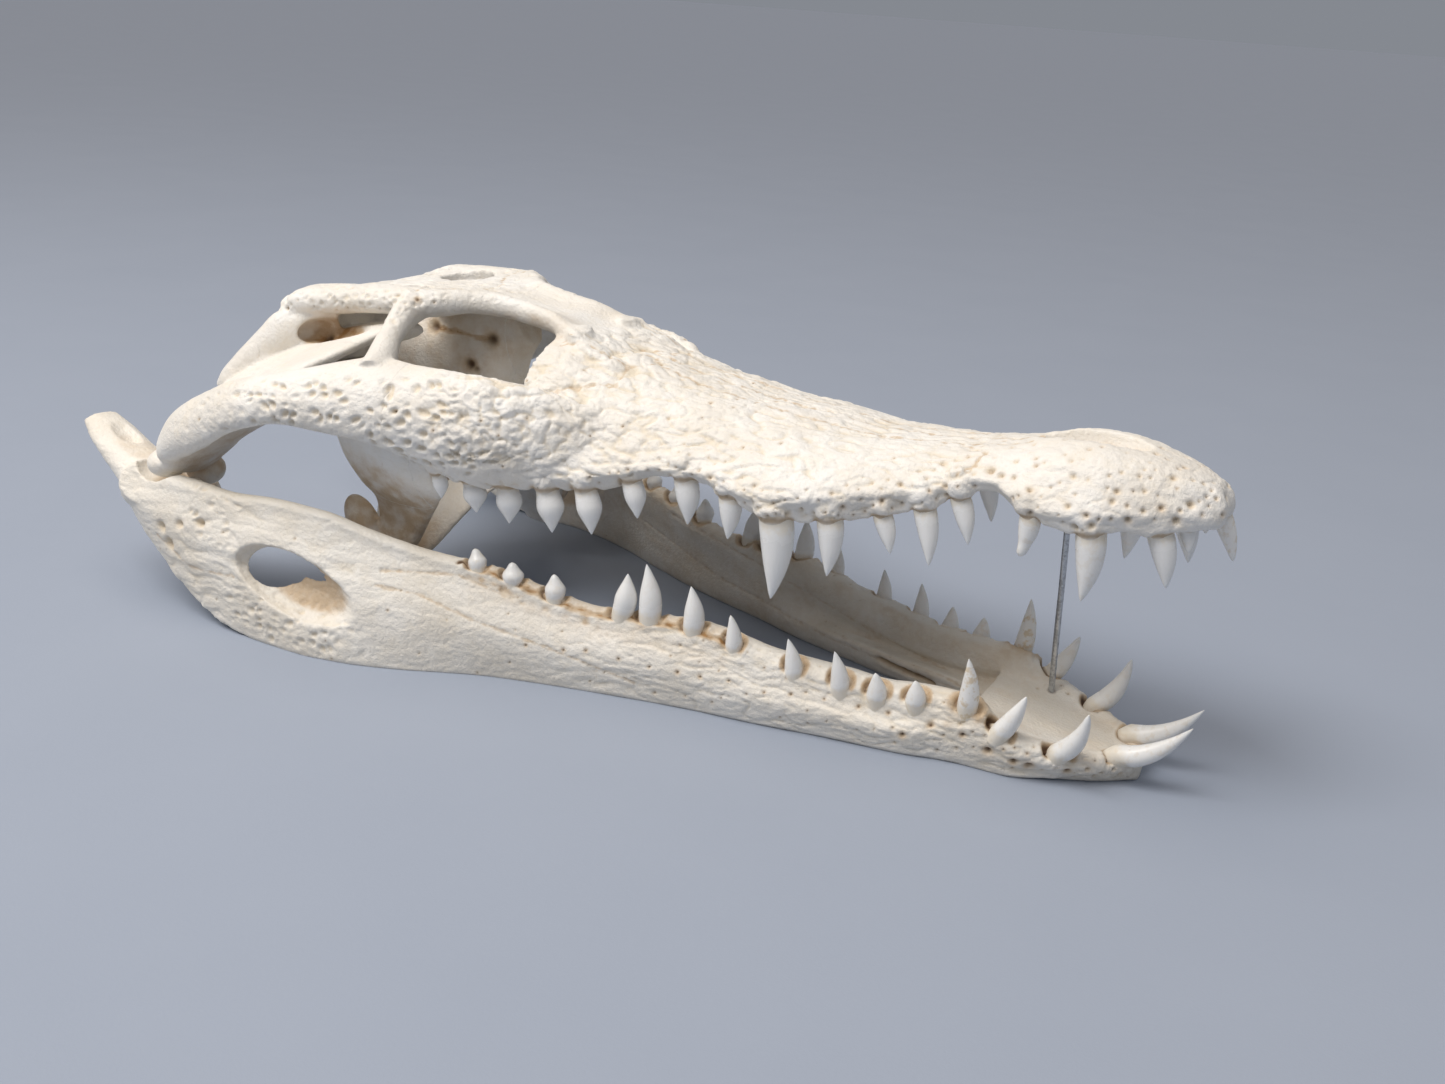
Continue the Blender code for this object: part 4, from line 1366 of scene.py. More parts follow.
    def carve_surface(self, skin: Skin) -> None:
        """Gives each kind of surface its folds, creases, swellings and pits.

        Args:
            skin: The pattern's skin.
        """
        x, _, z = skin.place()
        bark, cheek, roof, edge = skin.regions.values()
        winding = bent(skin.points, reach=2.8, size=13, seed=21)
        curling = bent(skin.points, reach=1.5, size=5, seed=27)
        folds = grooves(wander(winding, (15, 5.5, 5.5), seed=5), 0.15)
        creases = grooves(wander(curling, (7.5, 3.2, 3.2), seed=6), 0.17)
        swellings = wander(winding, (8, 5, 5), seed=7)
        knobs = wander(skin.points, (12, 8, 8), seed=8) * ease(x, 250, 205) * ease(z, 22, 40)
        cheek_pits = round_pits(winding, (5.6, 4.4, 4.0), seed=11)
        edge_pits = round_pits(curling, (3.6, 3.2, 3.0), seed=13)
        table_pits = round_pits(winding, (5.6, 4.8, 4.8), seed=14)

        strength = (1 - 0.5 * ease(x, 340, 365)) * (0.88 + 0.2 * ease(x, 320, 220))
        offset = bark * strength * (
            0.18
            - self.fold_depth * folds
            - self.crease_depth * creases
            + self.swelling_height * swellings
        )
        broad = 0.3 * wander(skin.points, (22, 16, 16), seed=9)
        offset += bark * (self.knob_height * knobs + broad)
        fade = 0.45 + 0.55 * ease(x, 60, 85) * ease(x, 175, 150)
        offset += cheek * (
            fade * (0.35 - self.cheek_pit_depth * cheek_pits) - 0.25 * creases + 0.3 * swellings
        )
        offset += edge * (0.25 - self.edge_pit_depth * edge_pits)
        pitted = self.table_pit_depth * table_pits * ease(x, 150, 120)
        offset += roof * (1 - edge) * (0.15 - pitted - 0.25 * folds + 0.3 * swellings)
        plain = 1 - np.clip(bark + cheek + roof + edge, 0, 1)
        offset += plain * 0.14 * wander(skin.points, (10, 7, 7), seed=10)
        skin.offset = offset
        # A tan tone on the floors of the cheek's pits, partly painted shade there
        skin.stain = 0.1 * cheek * cheek_pits

    def carve_sutures(self, skin: Skin) -> None:
        """Cuts the seams between the bones into the upper side.

        Args:
            skin: The pattern's skin.
        """
        x, y, z = skin.place()
        _, up = skin.facing()
        plan = np.column_stack([x, y])
        sway = 1.3 * wander(skin.points, (2.6, 2.6, 9), seed=31)
        for line in SUTURES:
            seam = grooves(line_distance(plan, line) + sway, 0.6)
            seam = seam * ease(up, 0.3, 0.6) * ease(z, 4, 10)
            skin.offset -= self.suture_depth * seam
            skin.stain_and_shade(0.3 * seam)

    def carve_socket(self, skin: Skin, station: tuple) -> None:
        """Raises a collar round a pair of teeth, sinks a narrow gap beside them and fills the gap
        with painted shade.

        Args:
            skin: The pattern's skin.
            station: The pair's row in UPPER_TEETH.
        """
        tooth_x, tooth_y, tooth_z, _, radius = station[:5]
        x, y, z = skin.place()
        _, up = skin.facing()
        away = np.hypot(x - tooth_x, y - tooth_y) / radius
        near = ease(np.abs(z - tooth_z), 6, 3) * ease(up, 0.0, -0.6)
        gap = grooves(away - 1.05, 0.2) * near
        collar = grooves(away - 1.45, 0.28) * near
        skin.offset -= self.socket_depth * gap
        skin.offset += 0.2 * collar
        # The gap gets painted shade, both deep brown and a beige tone
        skin.paint_shade(0.35 * gap)
        skin.stain_and_shade(0.4 * gap)

    def carve_holes(self, skin: Skin) -> None:
        """Sinks the vessel holes.

        Args:
            skin: The pattern's skin.
        """
        points, x, rise = skin.points, skin.points[:, 0], self.above_margin(skin)
        bark, cheek, _, edge = skin.regions.values()
        bark, cheek, edge = bark > 0.6, cheek > 0.7, edge > 0.6
        holes = Foramina(np.random.default_rng(5))
        for where, count, spacing, radius, shading in (
            (bark & (x > 356) & (rise > 2.5) & (rise < 12), 50, 3.6, (0.7, 1.35), 0.6),
            (bark & (x > 350) & (rise > 3), 120, 3.0, (0.5, 0.9), 0.5),
            (bark & (x < 352) & (x > 205) & (rise > 2) & (rise < 6.5), 84, 3.4, (0.5, 0.85), 0.6),
            (bark & (x < 352) & (x > 230) & (rise > 5) & (rise < 14), 84, 3.8, (0.4, 0.75), 0.55),
            (bark & (x < 345), 60, 7, (0.35, 0.6), 0.75),
            (cheek, 22, 7, (0.4, 0.7), 0.7),
            (edge, 26, 3.5, (0.4, 0.65), 0.6),
        ):
            holes.scatter(points, where, count, spacing, radius, shading)
        for side in Side:
            for (hole_x, hole_y, hole_z), radius, shading in HEAD_HOLES:
                seat = np.array((hole_x, side.value * hole_y, hole_z), float)
                nearest = points[np.argmin(np.linalg.norm(points - seat, axis=1))]
                holes.add(nearest, radius, radius * 0.8, shading)
        skin.sink(holes)

    def carve_crack(self, skin: Skin) -> None:
        """Cuts the crack beside the braincase, between its two largest holes.

        Args:
            skin: The pattern's skin.
        """
        x, y, z = skin.place()
        away = line_distance(np.column_stack([x, z]), HEAD_CRACK)
        crack = grooves(away + wander(skin.points, (5, 5, 3), seed=33), 1.0)
        crack = crack * (y < 22) * (y > 6)
        skin.offset -= self.crack_depth * crack
        skin.stain_and_shade(0.75 * crack)

    def stain_and_shade_hollows(self, skin: Skin) -> None:
        """Tones the hollows where no relief is with painted shade and the bone's warm colour, and
        stains the tooth margin.

        Args:
            skin: The pattern's skin.
        """
        bark, cheek, roof, _ = skin.regions.values()
        mottled = 0.75 + 0.5 * wander(skin.points, (7, 6, 6), seed=35)
        hidden = 1 - np.clip(bark + cheek + 0.6 * roof, 0, 1)
        for centre, radii, strength in HEAD_STAIN_AND_SHADE:
            skin.stain_and_shade(strength * mottled * inside(skin.points, centre, radii) * hidden)
        margin = ease(self.above_margin(skin), 1.5, -0.5) * (skin.points[:, 0] < 425)
        skin.stain_and_shade(0.18 * bark * margin * mottled)

    def part_bones(self, cranium: Object, collection: Collection) -> dict[str, Object]:
        """Cuts the carved cranium into its bones and sets them in place.

        Args:
            cranium: The carved pattern, which is used up.
            collection: Where the bones go.

        Returns:
            Each bone under its name.
        """
        cranium.data.transform(self.fit())
        rear, inner = self.snout_rear, self.cheek_inner
        back, top = self.palate_rear, self.palate_top
        under = ((back, -FAR, -FAR), (FAR, FAR, top))
        bones = {}
        for name, low, high, without in (
            ("snout", (rear, -FAR, -FAR), (FAR, FAR, FAR), None),
            ("cheek_right", (-FAR, -FAR, -FAR), (rear, -inner, FAR), None),
            ("cheek_left", (-FAR, inner, -FAR), (rear, FAR, FAR), None),
            ("palate", (back, -inner, -FAR), (rear, inner, top), None),
            ("skull_roof", (-FAR, -inner, -FAR), (rear, inner, FAR), under),
        ):
            bones[name] = cut_out(cranium, name, low, high, collection, without)
        bpy.data.objects.remove(cranium, do_unlink=True)
        for bone in bones.values():
            bone.data.transform(self.place())
        return bones

    def teeth(self, side: Side) -> ToothRow:
        """One side's upper teeth, set in the placed cranium.

        Args:
            side: The side. The right one lacks its first tooth.

        Returns:
            The row.
        """
        move = self.place() @ self.fit()
        stations = [FIRST_UPPER_TOOTH, *UPPER_TEETH] if side is Side.LEFT else UPPER_TEETH
        row = []
        for x, y, z, length, radius, forward, outward, bulb, blunt, stain in stations:
            base = Vector((x, side.value * y, z)) * MM
            tip = Vector((x + forward, side.value * (y + outward), z - length)) * MM
            stout = radius * STOUTNESS
            row.append(Tooth(move @ base / MM, move @ tip / MM, stout, bulb, blunt, stain))
        return ToothRow(f"upper_teeth_{side.name.lower()}", row)


def cut_out(
    whole: Object,
    name: str,
    low: tuple,
    high: tuple,
    collection: Collection,
    without: tuple | None = None,
) -> Object:
    """The part of a bone inside a box.

    Args:
        whole: The bone.
        name: The bone's name among the solids.
        low: The box's lowest corner.
        high: The box's highest corner.
        collection: Where the part goes.
        without: The corners of a second box that is left out.

    Returns:
        The part as its own object.
    """
    piece = add_object(f"{name}_bone", whole.data.copy(), collection)
    for corners, join in (((low, high), Join.KEEP), (without, Join.CUT)):
        if corners:
            room = new_collection("room")
            box("room", *corners, room)
            combine(piece, room, join)
    keep_largest(piece)
    return piece


# Ramus: x, then height, distance from the middle and half thickness at the top,
# at mid height and at the bottom
RAMUS = (
    (398, 12, 13, 3.5, 8, 12, 4, 3, 10, 4.5),
    (385, 13.5, 22.5, 4.5, 8, 20, 5, 1, 17, 6.5),
    (366, 18.5, 29, 5, 10, 27, 6.5, -0.8, 20.5, 11.5),
    (350, 26.5, 27.5, 7, 13, 27.5, 7, -0.8, 21.5, 11.5),
    (341, 26.2, 27, 7.5, 12, 28.5, 7.8, -0.8, 23.5, 11.5),
    (331, 26, 28.5, 8.5, 11, 31, 9, -0.8, 26.5, 12),
    (318, 25, 31, 8.5, 11, 33.5, 9, -0.8, 29, 12),
    (304, 26.5, 33.8, 8.8, 11, 36, 9, -0.8, 31, 12.5),
    (276, 29, 39.8, 8.2, 12, 42, 9, -0.8, 37.5, 12),
    (247, 34.5, 45.4, 6.6, 16, 47, 8.5, -0.8, 44, 10),
    (226, 34.5, 50, 5.8, 17, 52, 8, -0.8, 50.5, 8),
    (205, 33, 54.5, 5.5, 17, 57.5, 7.5, -0.8, 56.5, 7.5),
    (186, 36, 59, 5.5, 18, 63.5, 7.2, -0.8, 62.5, 7),
    (164, 42, 64.5, 5, 20, 71, 7, -0.8, 71, 6),
    (150, 44, 69, 5, 22, 76, 7, -0.8, 77.5, 6.5),
    (135, 46, 74, 4.8, 24, 82, 7.2, -0.8, 85, 7),
    (112, 51.5, 82, 4.5, 27, 90, 7.5, -0.8, 93.5, 7.5),
    (92, 57, 88, 4.3, 30, 95, 7.5, -0.8, 97.5, 7.5),
    (70, 58.5, 92.5, 4.5, 32, 98.5, 7, -0.4, 98, 7.5),
    (50, 57.5, 95.5, 5, 34, 99, 7, 2.5, 98, 7),
    (30, 59, 97, 5, 38, 99, 7, 11, 97.5, 6.5),
    (14, 59, 96.5, 5, 42, 98, 7, 21, 96.5, 5.5),
    (0, 59, 95, 5, 46, 96, 7, 32, 95.5, 5),
    (-12, 56, 93, 4, 48, 93, 6, 42, 93, 4.5),
)

# Symphysis, where both rami meet: x, height at the middle, half width at the rim,
# rim height, half width at mid height, half width at the bottom
SYMPHYSIS = (
    (410, 8, 4, 9, 4, 2),
    (407, 9, 9, 11, 10, 4),
    (400, 10, 16, 12.5, 17, 10),
    (390, 10.5, 23, 13, 24, 16),
    (378, 12, 30, 15, 30, 21),
    (366, 14.5, 34, 18.5, 33.5, 25),
    (356, 16.5, 34.5, 22, 34, 27),
    (347, 17, 34.5, 23.5, 34.5, 28),
)

# Retroarticular process behind the joint: centre, half width, half thickness
RETROARTICULAR = (
    (34, -92, 34, 8, 17),
    (12, -88, 42, 13, 14),
    (-8, -85, 49, 13.5, 9.5),
    (-22, -84, 56, 12, 7),
    (-35, -82, 63, 10.5, 5),
    (-45, -80, 68, 8, 3.4),
)

ARTICULAR = (
    (4, -98, 53, 13, 10),
    (0, -88, 47, 17, 13),
    (-2, -74, 42, 16, 11),
    (-2, -64, 39.5, 12, 8.4),
    (-2, -60, 38.5, 7.5, 5.5),
)

# Lower teeth: x, distance from the middle and height of the base, the same for the tip, radius
# at the base, how bulbous, how blunt, how stained
LOWER_TEETH = (
    (404, 10, 11.5, 427, 9, 29, 4.6, 0, 0, 0.3),
    (385, 24, 12.5, 394.5, 29, 32.6, 4.4, 0, 0.3, 0.2),
    (364.5, 31.5, 17.5, 372.5, 33, 34.8, 4, 0, 0.2, 0.2),
    (351, 31.5, 24, 350.5, 35.5, 44.5, 4.0, 0, 0, 0.9),
    (332, 34.5, 21.5, 332, 37, 31, 4.0, 0, 0.2, 0.3),
    (317.5, 37, 20, 317.3, 40, 31, 4.0, 0, 0.2, 0.2),
    (303.6, 39.5, 20.5, 301.5, 43, 36.5, 3.8, 0, 0, 0.1),
    (285.5, 42.5, 22.5, 283.3, 45.5, 37.6, 3.7, 0, 0, 0.1),
    (261, 46, 28, 260, 48.5, 42, 3.5, 0, 0.2, 0.3),
    (244, 48, 32.5, 243, 50, 50, 4.4, 0.2, 0, 0.1),
    (226, 51, 33.5, 224, 52, 55, 4.8, 0.3, 0, 0.1),
    (215, 53.5, 33, 217, 54, 50, 4.7, 0.5, 0, 0.1),
    (187, 59.5, 34, 186.7, 60, 44, 4.2, 0.8, 0.5, 0.2),
    (169.5, 63.8, 37.5, 169.3, 64, 46, 4.2, 1, 0.7, 0.2),
    (155, 67.5, 41, 153.2, 67, 49, 3.8, 0.8, 0.7, 0.3),
)

# How the first two lower teeth bow, by their x
LOWER_BOWS = {404: (0.05, 0.0, -0.5), 385: (0.3, 0.05, -0.25)}

# Long vessel slits and sutures on the lower jaw, as x and height
OUTER_SLITS = (((138, 48), (151, 46.5)), ((149, 44), (152, 44.5)))
OUTER_SUTURES = (
    ((122, 33), (138, 31), (160, 24), (190, 17), (225, 8)),
    ((122, 38), (150, 39), (178, 31)),
    ((60, 26), (35, 24), (14, 33)),
)
INNER_SUTURES = (
    ((150, 22), (200, 12), (270, 8), (335, 7)),
    ((335, 9), (290, 15), (230, 25), (170, 34)),
)
INNER_SLITS = (((295, 8), (320, 5)),)

# Vessel holes below the front teeth and above the side opening, as x and height
FRONT_HOLES = ((369.5, 8.5), (360, 9.5), (350, 12.8), (340, 14.8), (378, 6.5), (388, 6), (331, 9))
REAR_HOLES = ((17, 37.5), (29.5, 41.5), (40, 45), (24, 32))

# Lower teeth that stand in wide open sockets, by their x
OPEN_SOCKETS = (385, 364.5)

# The split fourth tooth, as x and distance from the middle
SPLIT_TOOTH = (351, 31.5)

# Hollows of the lower jaw toned beige to brown, partly painted shade and partly the bone's warm
# colour: middle on the left side, radii, strength
JAW_STAIN_AND_SHADE = (
    ((86, 91, 24), (36, 9.5, 17), 0.4),
    ((6, 80, 48), (14, 24, 10), 0.34),
    ((-16, 84, 60), (20, 10, 10), 0.16),
)


@dataclass
class LowerJaw:
    """Both halves of the lower jaw, drawn in place with x from just behind the joint."""

    cranium: Cranium
    wire_foot: tuple
    voxel: float = 0.75
    smoothing: int = 6
    socket_gap: float = 1.2
    floor: float = -0.8
    strand_depth: float = 0.48
    thread_depth: float = 0.28
    swelling_height: float = 0.34
    fold_depth: float = 0.36
    pit_depth: float = 1.15
    trough_depth: float = 0.7
    broken_height: float = 1.1

    def ramus_rings(self) -> list:
        """The right ramus's shape.

        Returns:
            Rings of points from the chin back to the joint.
        """
        places = np.concatenate([np.linspace(398, 340, 24), np.linspace(337, -12, 120)])
        rings = []
        for x, row in zip(places, smooth_through(RAMUS, places)):
            top, top_y, top_t, mid, mid_y, mid_t, low, low_y, low_t = row
            outline = (
                (top_y, top),
                (top_y + top_t * 0.75, top - top_t * 0.3),
                (top_y + top_t, top - top_t * 1.2),
                (mid_y + mid_t, mid),
                (low_y + low_t, low + low_t * 0.5),
                (low_y + low_t * 0.7, low),
                (low_y - low_t * 0.6, low),
                (low_y - low_t, low + low_t * 0.9),
                (mid_y - mid_t, mid),
                (top_y - top_t, top - top_t * 1.2),
                (top_y - top_t * 0.75, top - top_t * 0.3),
            )
            rings.append([(x, -y, z) for y, z in round_outline(outline, 44)])
        return rings

    def symphysis_rings(self) -> list:
        """The symphysis's shape, with a hollowed upper face between its rims.

        Returns:
            Rings of points from the chin back.
        """
        places = np.concatenate([np.linspace(410, 400, 9), np.linspace(398, 347, 26)])
        rings = []
        for x, row in zip(places, smooth_through(SYMPHYSIS, places)):
            middle, rim_y, rim, side_y, low_y = row
            half = (
                (rim_y * 0.55, middle + 0.5),
                (rim_y * 0.85, rim),
                (side_y, rim * 0.65),
                ((side_y + low_y) / 2 + 1, rim * 0.25),
                (low_y * 0.95, self.floor),
            )
            rings.append(even_ring(x, middle, half, self.floor, 52))
        return rings

    def build_whole(self, collection: Collection) -> Object:
        """The whole lower jaw as one fine skin, with sockets that clear the condyles.

        Args:
            collection: Where it goes.

        Returns:
            The jaw.
        """
        pieces = new_collection("jaw_pieces")
        jaw = loft("jaw", self.symphysis_rings(), collection)
        for piece in (
            loft("ramus", self.ramus_rings(), pieces),
            bar("retroarticular", RETROARTICULAR, pieces),
            bar("articular", ARTICULAR, pieces),
        ):
            mirrored(piece, pieces)
        combine(jaw, pieces, Join.ADD)
        cutters = new_collection("jaw_cutters")
        for cutter in (
            ball("fenestra", (91, -104, 28), (31, 12.5, 12.5), cutters, turn=(0, 14, 0)),
            ball("inner_window", (68, -88, 28), (24, 13, 12), cutters, turn=(0, -28, 0)),
            ball("muscle_hollow", (86, -87, 37), (34, 8, 11), cutters, turn=(0, 14, 11)),
            ball("scoop", (-31, -82, 72), (16, 6.5, 5.6), cutters, turn=(0, 42, 0)),
        ):
            mirrored(cutter, cutters)
        unshift = Matrix.Translation(-self.cranium.shift * MM)
        seat = unshift @ self.cranium.place() @ self.cranium.fit()
        for (x, y, z), radii in CONDYLES:
            room = Vector(radii) + Vector((6, 3, 2)) * self.socket_gap
            for side in Side:
                socket = ball("socket", (x, side.value * y, z), room, cutters)
                socket.data.transform(seat)
        combine(jaw, cutters, Join.CUT)
        melt(jaw, self.voxel, self.smoothing)
        keep_largest(jaw)
        return jaw

    def carve_relief(self, jaw: Object) -> None:
        """Gives the jaw its grooves, pores, slits, sutures, tooth sockets and vessel holes.

        Args:
            jaw: The jaw.
        """
        skin = Skin(jaw.data)
        out, up = skin.facing()
        skin.regions = {
            "outer": ease(out, -0.05, 0.3),
            "inner": ease(-out, 0.1, 0.5),
            "top": ease(up, 0.0, 0.5),
        }
        self.carve_surface(skin)
        self.carve_seams(skin)
        self.carve_trough(skin)
        for station in LOWER_TEETH:
            self.carve_socket(skin, station)
        self.carve_split_socket(skin)
        # Painted shade round the wire's foot, where it meets the jaw
        near_wire = np.linalg.norm(skin.points - self.wire_foot, axis=1)
        skin.paint_shade(0.6 * np.exp(-((near_wire / 2.3) ** 4)))
        self.carve_holes(skin)
        self.stain_and_shade_hollows(skin)
        # The flats that the jaw stands on stay flat
        skin.offset *= ease(skin.points[:, 2], 0.3, 2.0)
        skin.finish()

    def carve_surface(self, skin: Skin) -> None:
        """Gives the sides their strands, threads, swellings, folds and pits.

        Args:
            skin: The jaw's skin.
        """
        x, _, z = skin.place()
        outer, inner, _ = skin.regions.values()
        winding = bent(skin.points, reach=2.6, size=15, seed=51)
        flowing = bent(skin.points, reach=1.3, size=6, seed=55)
        strands = grooves(wander(winding, (26, 6, 4.2), seed=15), 0.13)
        threads = grooves(wander(flowing, (13, 2.8, 2.3), seed=16), 0.2)
        swellings = wander(winding, (17, 8, 5), seed=17)
        folds = grooves(wander(winding, (15, 6, 5.2), seed=18), 0.16)
        pits = round_pits(winding, (5.4, 4.6, 4.0), seed=19)

        joint = ease(np.hypot(x - 2, z - 52), 36, 26)
        rear = ease(x, 135, 95) * ease(x, -5, 12) * (1 - joint)
        rear *= 1 - 0.75 * ease(z, 36, 44) * ease(x, 52, 72)
        below, behind = ease(z, 24, 15) * ease(x, 40, 60), ease(x, 68, 45) * ease(z, 34, 39)
        pitted = rear * np.maximum(below, behind)
        strength = 0.42 + 0.58 * ease(x, 170, 240)
        offset = outer * strength * (
            0.14
            - self.strand_depth * strands
            - self.thread_depth * threads
            + self.swelling_height * swellings
        )
        rough = 0.14 - self.fold_depth * folds + 0.4 * swellings
        offset += outer * rear * rough * (1 - 0.6 * pitted)
        offset += outer * pitted * (0.4 - self.pit_depth * pits)
        offset += inner * (0.1 * wander(flowing, (20, 5, 4), seed=20) - 0.06 * threads)
        offset += (1 - outer) * (1 - inner) * 0.2 * swellings
        skin.offset = offset
        # A tan tone on the floors of the jaw's pits, partly painted shade there
        skin.stain = 0.1 * outer * pitted * pits

    def carve_seams(self, skin: Skin) -> None:
        """Cuts the sutures and the long vessel slits into the sides.

        Args:
            skin: The jaw's skin.
        """
        x, _, z = skin.place()
        outer, inner, _ = skin.regions.values()
        side_view = np.column_stack([x, z])
        waver = wander(skin.points, (3, 9, 3), seed=61)
        # Vessel slits get painted shade; sutures and slits also get a tan stain
        for face, lines, width, depth, shading, tan, sway in (
            (outer, OUTER_SUTURES, 0.6, 0.4, 0, 0.25, 0.7),
            (inner, INNER_SUTURES, 0.6, 0.35, 0, 0.25, 0.7),
            (outer, OUTER_SLITS[:1], 1.2, 2.2, 0.5, 0.9, 0.7),
            (outer, OUTER_SLITS[1:], 0.9, 0.8, 1, 0.5, 0.7),
            (inner, INNER_SLITS, 1.2, 2.2, 0.5, 0.6, 0.2),
        ):
            for line in lines:
                seam = grooves(line_distance(side_view, line) + sway * waver, width) * face
                skin.offset -= depth * seam
                skin.paint_shade(shading * seam)
                skin.stain_and_shade(tan * seam)

    def carve_trough(self, skin: Skin) -> None:
        """Sinks the stained trough beside the cheek teeth.

        Args:
            skin: The jaw's skin.
        """
        x, y, _ = skin.place()
        top = skin.regions["top"]
        along_teeth = ease(x, 148, 158) * ease(x, 268, 256)
        crest = smooth_through([(row[0], row[1]) for row in LOWER_TEETH], x)[:, 0]
        beside = y - crest - 2.6 + 0.9 * wander(skin.points, (5, 4, 4), seed=62)
        trough = grooves(beside, 1.3) * top * along_teeth
        band = grooves(beside + 1.5, 5.5) * top * along_teeth
        skin.offset -= self.trough_depth * trough
        mottled = 0.62 + 0.5 * wander(skin.points, (4, 3, 3), seed=63)
        skin.stain_and_shade(np.maximum(1.1 * trough * mottled, 0.22 * band))

    def carve_socket(self, skin: Skin, station: tuple) -> None:
        """Raises a collar round a pair of teeth, sinks the gap beside and behind them and fills the
        gap with painted shade, heaviest behind the tooth.

        Args:
            skin: The jaw's skin.
            station: The pair's row in LOWER_TEETH.
        """
        tooth_x, tooth_y, tooth_z, _, _, _, radius, *_ = station
        x, y, z = skin.place()
        _, up = skin.facing()
        wide = 1.0 if tooth_x in OPEN_SOCKETS else 0.4
        away = np.hypot(x - tooth_x, y - tooth_y) / radius
        crown = ease(tooth_z - z, 4.5, 1.5) * ease(up, 0.1, 0.55)
        gap = grooves(away - 1.12, 0.2 + 0.1 * wide) * crown
        collar = grooves(away - 1.55, 0.3) * crown
        behind = ease(tooth_x - x, -2, 3)
        skin.offset += 0.45 * collar - (1.0 + 2.2 * wide * behind) * gap
        # Painted shade in the gap, heaviest behind the tooth; the tan ring round the tooth is a
        # stain
        skin.paint_shade((0.25 + 0.6 * behind) * gap * (0.4 + wide))
        skin.stain_and_shade(0.6 * grooves(away - 1.25, 0.3) * crown)

    def carve_split_socket(self, skin: Skin) -> None:
        """Raises a ragged stained rim round the split fourth tooth.

        Args:
            skin: The jaw's skin.
        """
        x, y, _ = skin.place()
        top = skin.regions["top"]
        away = np.hypot(x - SPLIT_TOOTH[0], y - SPLIT_TOOTH[1])
        uneven = 0.6 + 0.8 * wander(skin.points, (3, 3, 3), seed=67)
        skin.offset += self.broken_height * (grooves(away - 6.6, 2.2) * top * uneven)
        skin.stain_and_shade(0.45 * ease(away, 10, 5) * top)

    def carve_holes(self, skin: Skin) -> None:
        """Sinks the vessel holes.

        Args:
            skin: The jaw's skin.
        """
        points = skin.points
        x, y, z = skin.place()
        _, up = skin.facing()
        outer, inner, _ = skin.regions.values()
        outside = outer > 0.6
        holes = Foramina(np.random.default_rng(9))
        draw = holes.rng.uniform
        for side in Side:
            wall = outside & (np.sign(points[:, 1]) == side.value)
            rows = [(at_x, at_z, 1.1, 0.85) for at_x, at_z in FRONT_HOLES]
            middle_row = np.arange(322, 178, -11.5)
            rows += [(at_x, 15 + 0.02 * (320 - at_x), 0.62, 0.7) for at_x in middle_row]
            rows += [(at_x, at_z, 1.9, 0.28) for at_x, at_z in REAR_HOLES]
            for at_x, at_z, radius, shading in rows:
                spot = at_x + draw(-2, 2), at_z + draw(-1, 1)
                holes.add_beside(points, wall, spot, radius * draw(0.75, 1.15), shading)
        for where, count, spacing, radius, shading in (
            (outside & (x > 325) & (z > 3), 70, 3.2, (0.4, 0.85), 0.7),
            (outside & (x > 230) & (x < 330) & (z > 5), 50, 4.5, (0.35, 0.6), 0.6),
            ((up > 0.6) & (x > 200) & (y > 15), 50, 3.5, (0.35, 0.6), 0.55),
            (outside & (x < 230) & (x > 0), 44, 7, (0.35, 0.6), 0.65),
            ((inner > 0.7) & (x > 60), 12, 16, (0.4, 0.6), 0.7),
        ):
            holes.scatter(points, where, count, spacing, radius, shading)
        skin.sink(holes)

    def stain_and_shade_hollows(self, skin: Skin) -> None:
        """Tones the side opening, the joint and the inner faces, partly with painted shade in those
        hollows and on the inward faces and partly with the bone's warm colour.

        Args:
            skin: The jaw's skin.
        """
        x, y, _ = skin.place()
        _, inner, top = skin.regions.values()
        for centre, radii, strength in JAW_STAIN_AND_SHADE:
            skin.stain_and_shade(strength * inside(skin.points, centre, radii))
        # The inner faces and the symphysis's top get a beige tone that is partly painted shade
        hollow = np.maximum(inner, 0.8 * top * ease(x, 318, 348) * ease(y, 30, 24))
        mottled = 0.7 + 0.4 * wander(skin.points, (16, 9, 9), seed=69)
        skin.stain_and_shade(0.2 * hollow * ease(x, 40, 90) * mottled)

    def part_halves(self, jaw: Object, collection: Collection) -> dict[str, Object]:
        """Parts the carved jaw at its middle and stands it on flats on the floor.

        Args:
            jaw: The carved jaw, which is used up.
            collection: Where the halves go.

        Returns:
            Each half under its name.
        """
        halves = {}
        for side in Side:
            name = f"mandible_{side.name.lower()}"
            near, out = sorted((0.0, side.value * FAR))
            halves[name] = cut_out(jaw, name, (-FAR, near, 0), (FAR, out, FAR), collection)
            halves[name].data.transform(Matrix.Translation(self.cranium.shift * MM))
        bpy.data.objects.remove(jaw, do_unlink=True)
        return halves

    def teeth(self, side: Side) -> ToothRow:
        """One side's lower teeth.

        Args:
            side: The side.

        Returns:
            The row.
        """
        row = []
        for x, y, z, tip_x, tip_y, tip_z, radius, bulb, blunt, stain in LOWER_TEETH:
            base = Vector((x, side.value * y, z)) + self.cranium.shift
            tip = Vector((tip_x, side.value * tip_y, tip_z)) + self.cranium.shift
            bow = LOWER_BOWS.get(x, PLAIN_BOW)
            row.append(Tooth(base, tip, radius * STOUTNESS, bulb, blunt, stain, bow))
        return ToothRow(f"lower_teeth_{side.name.lower()}", row)


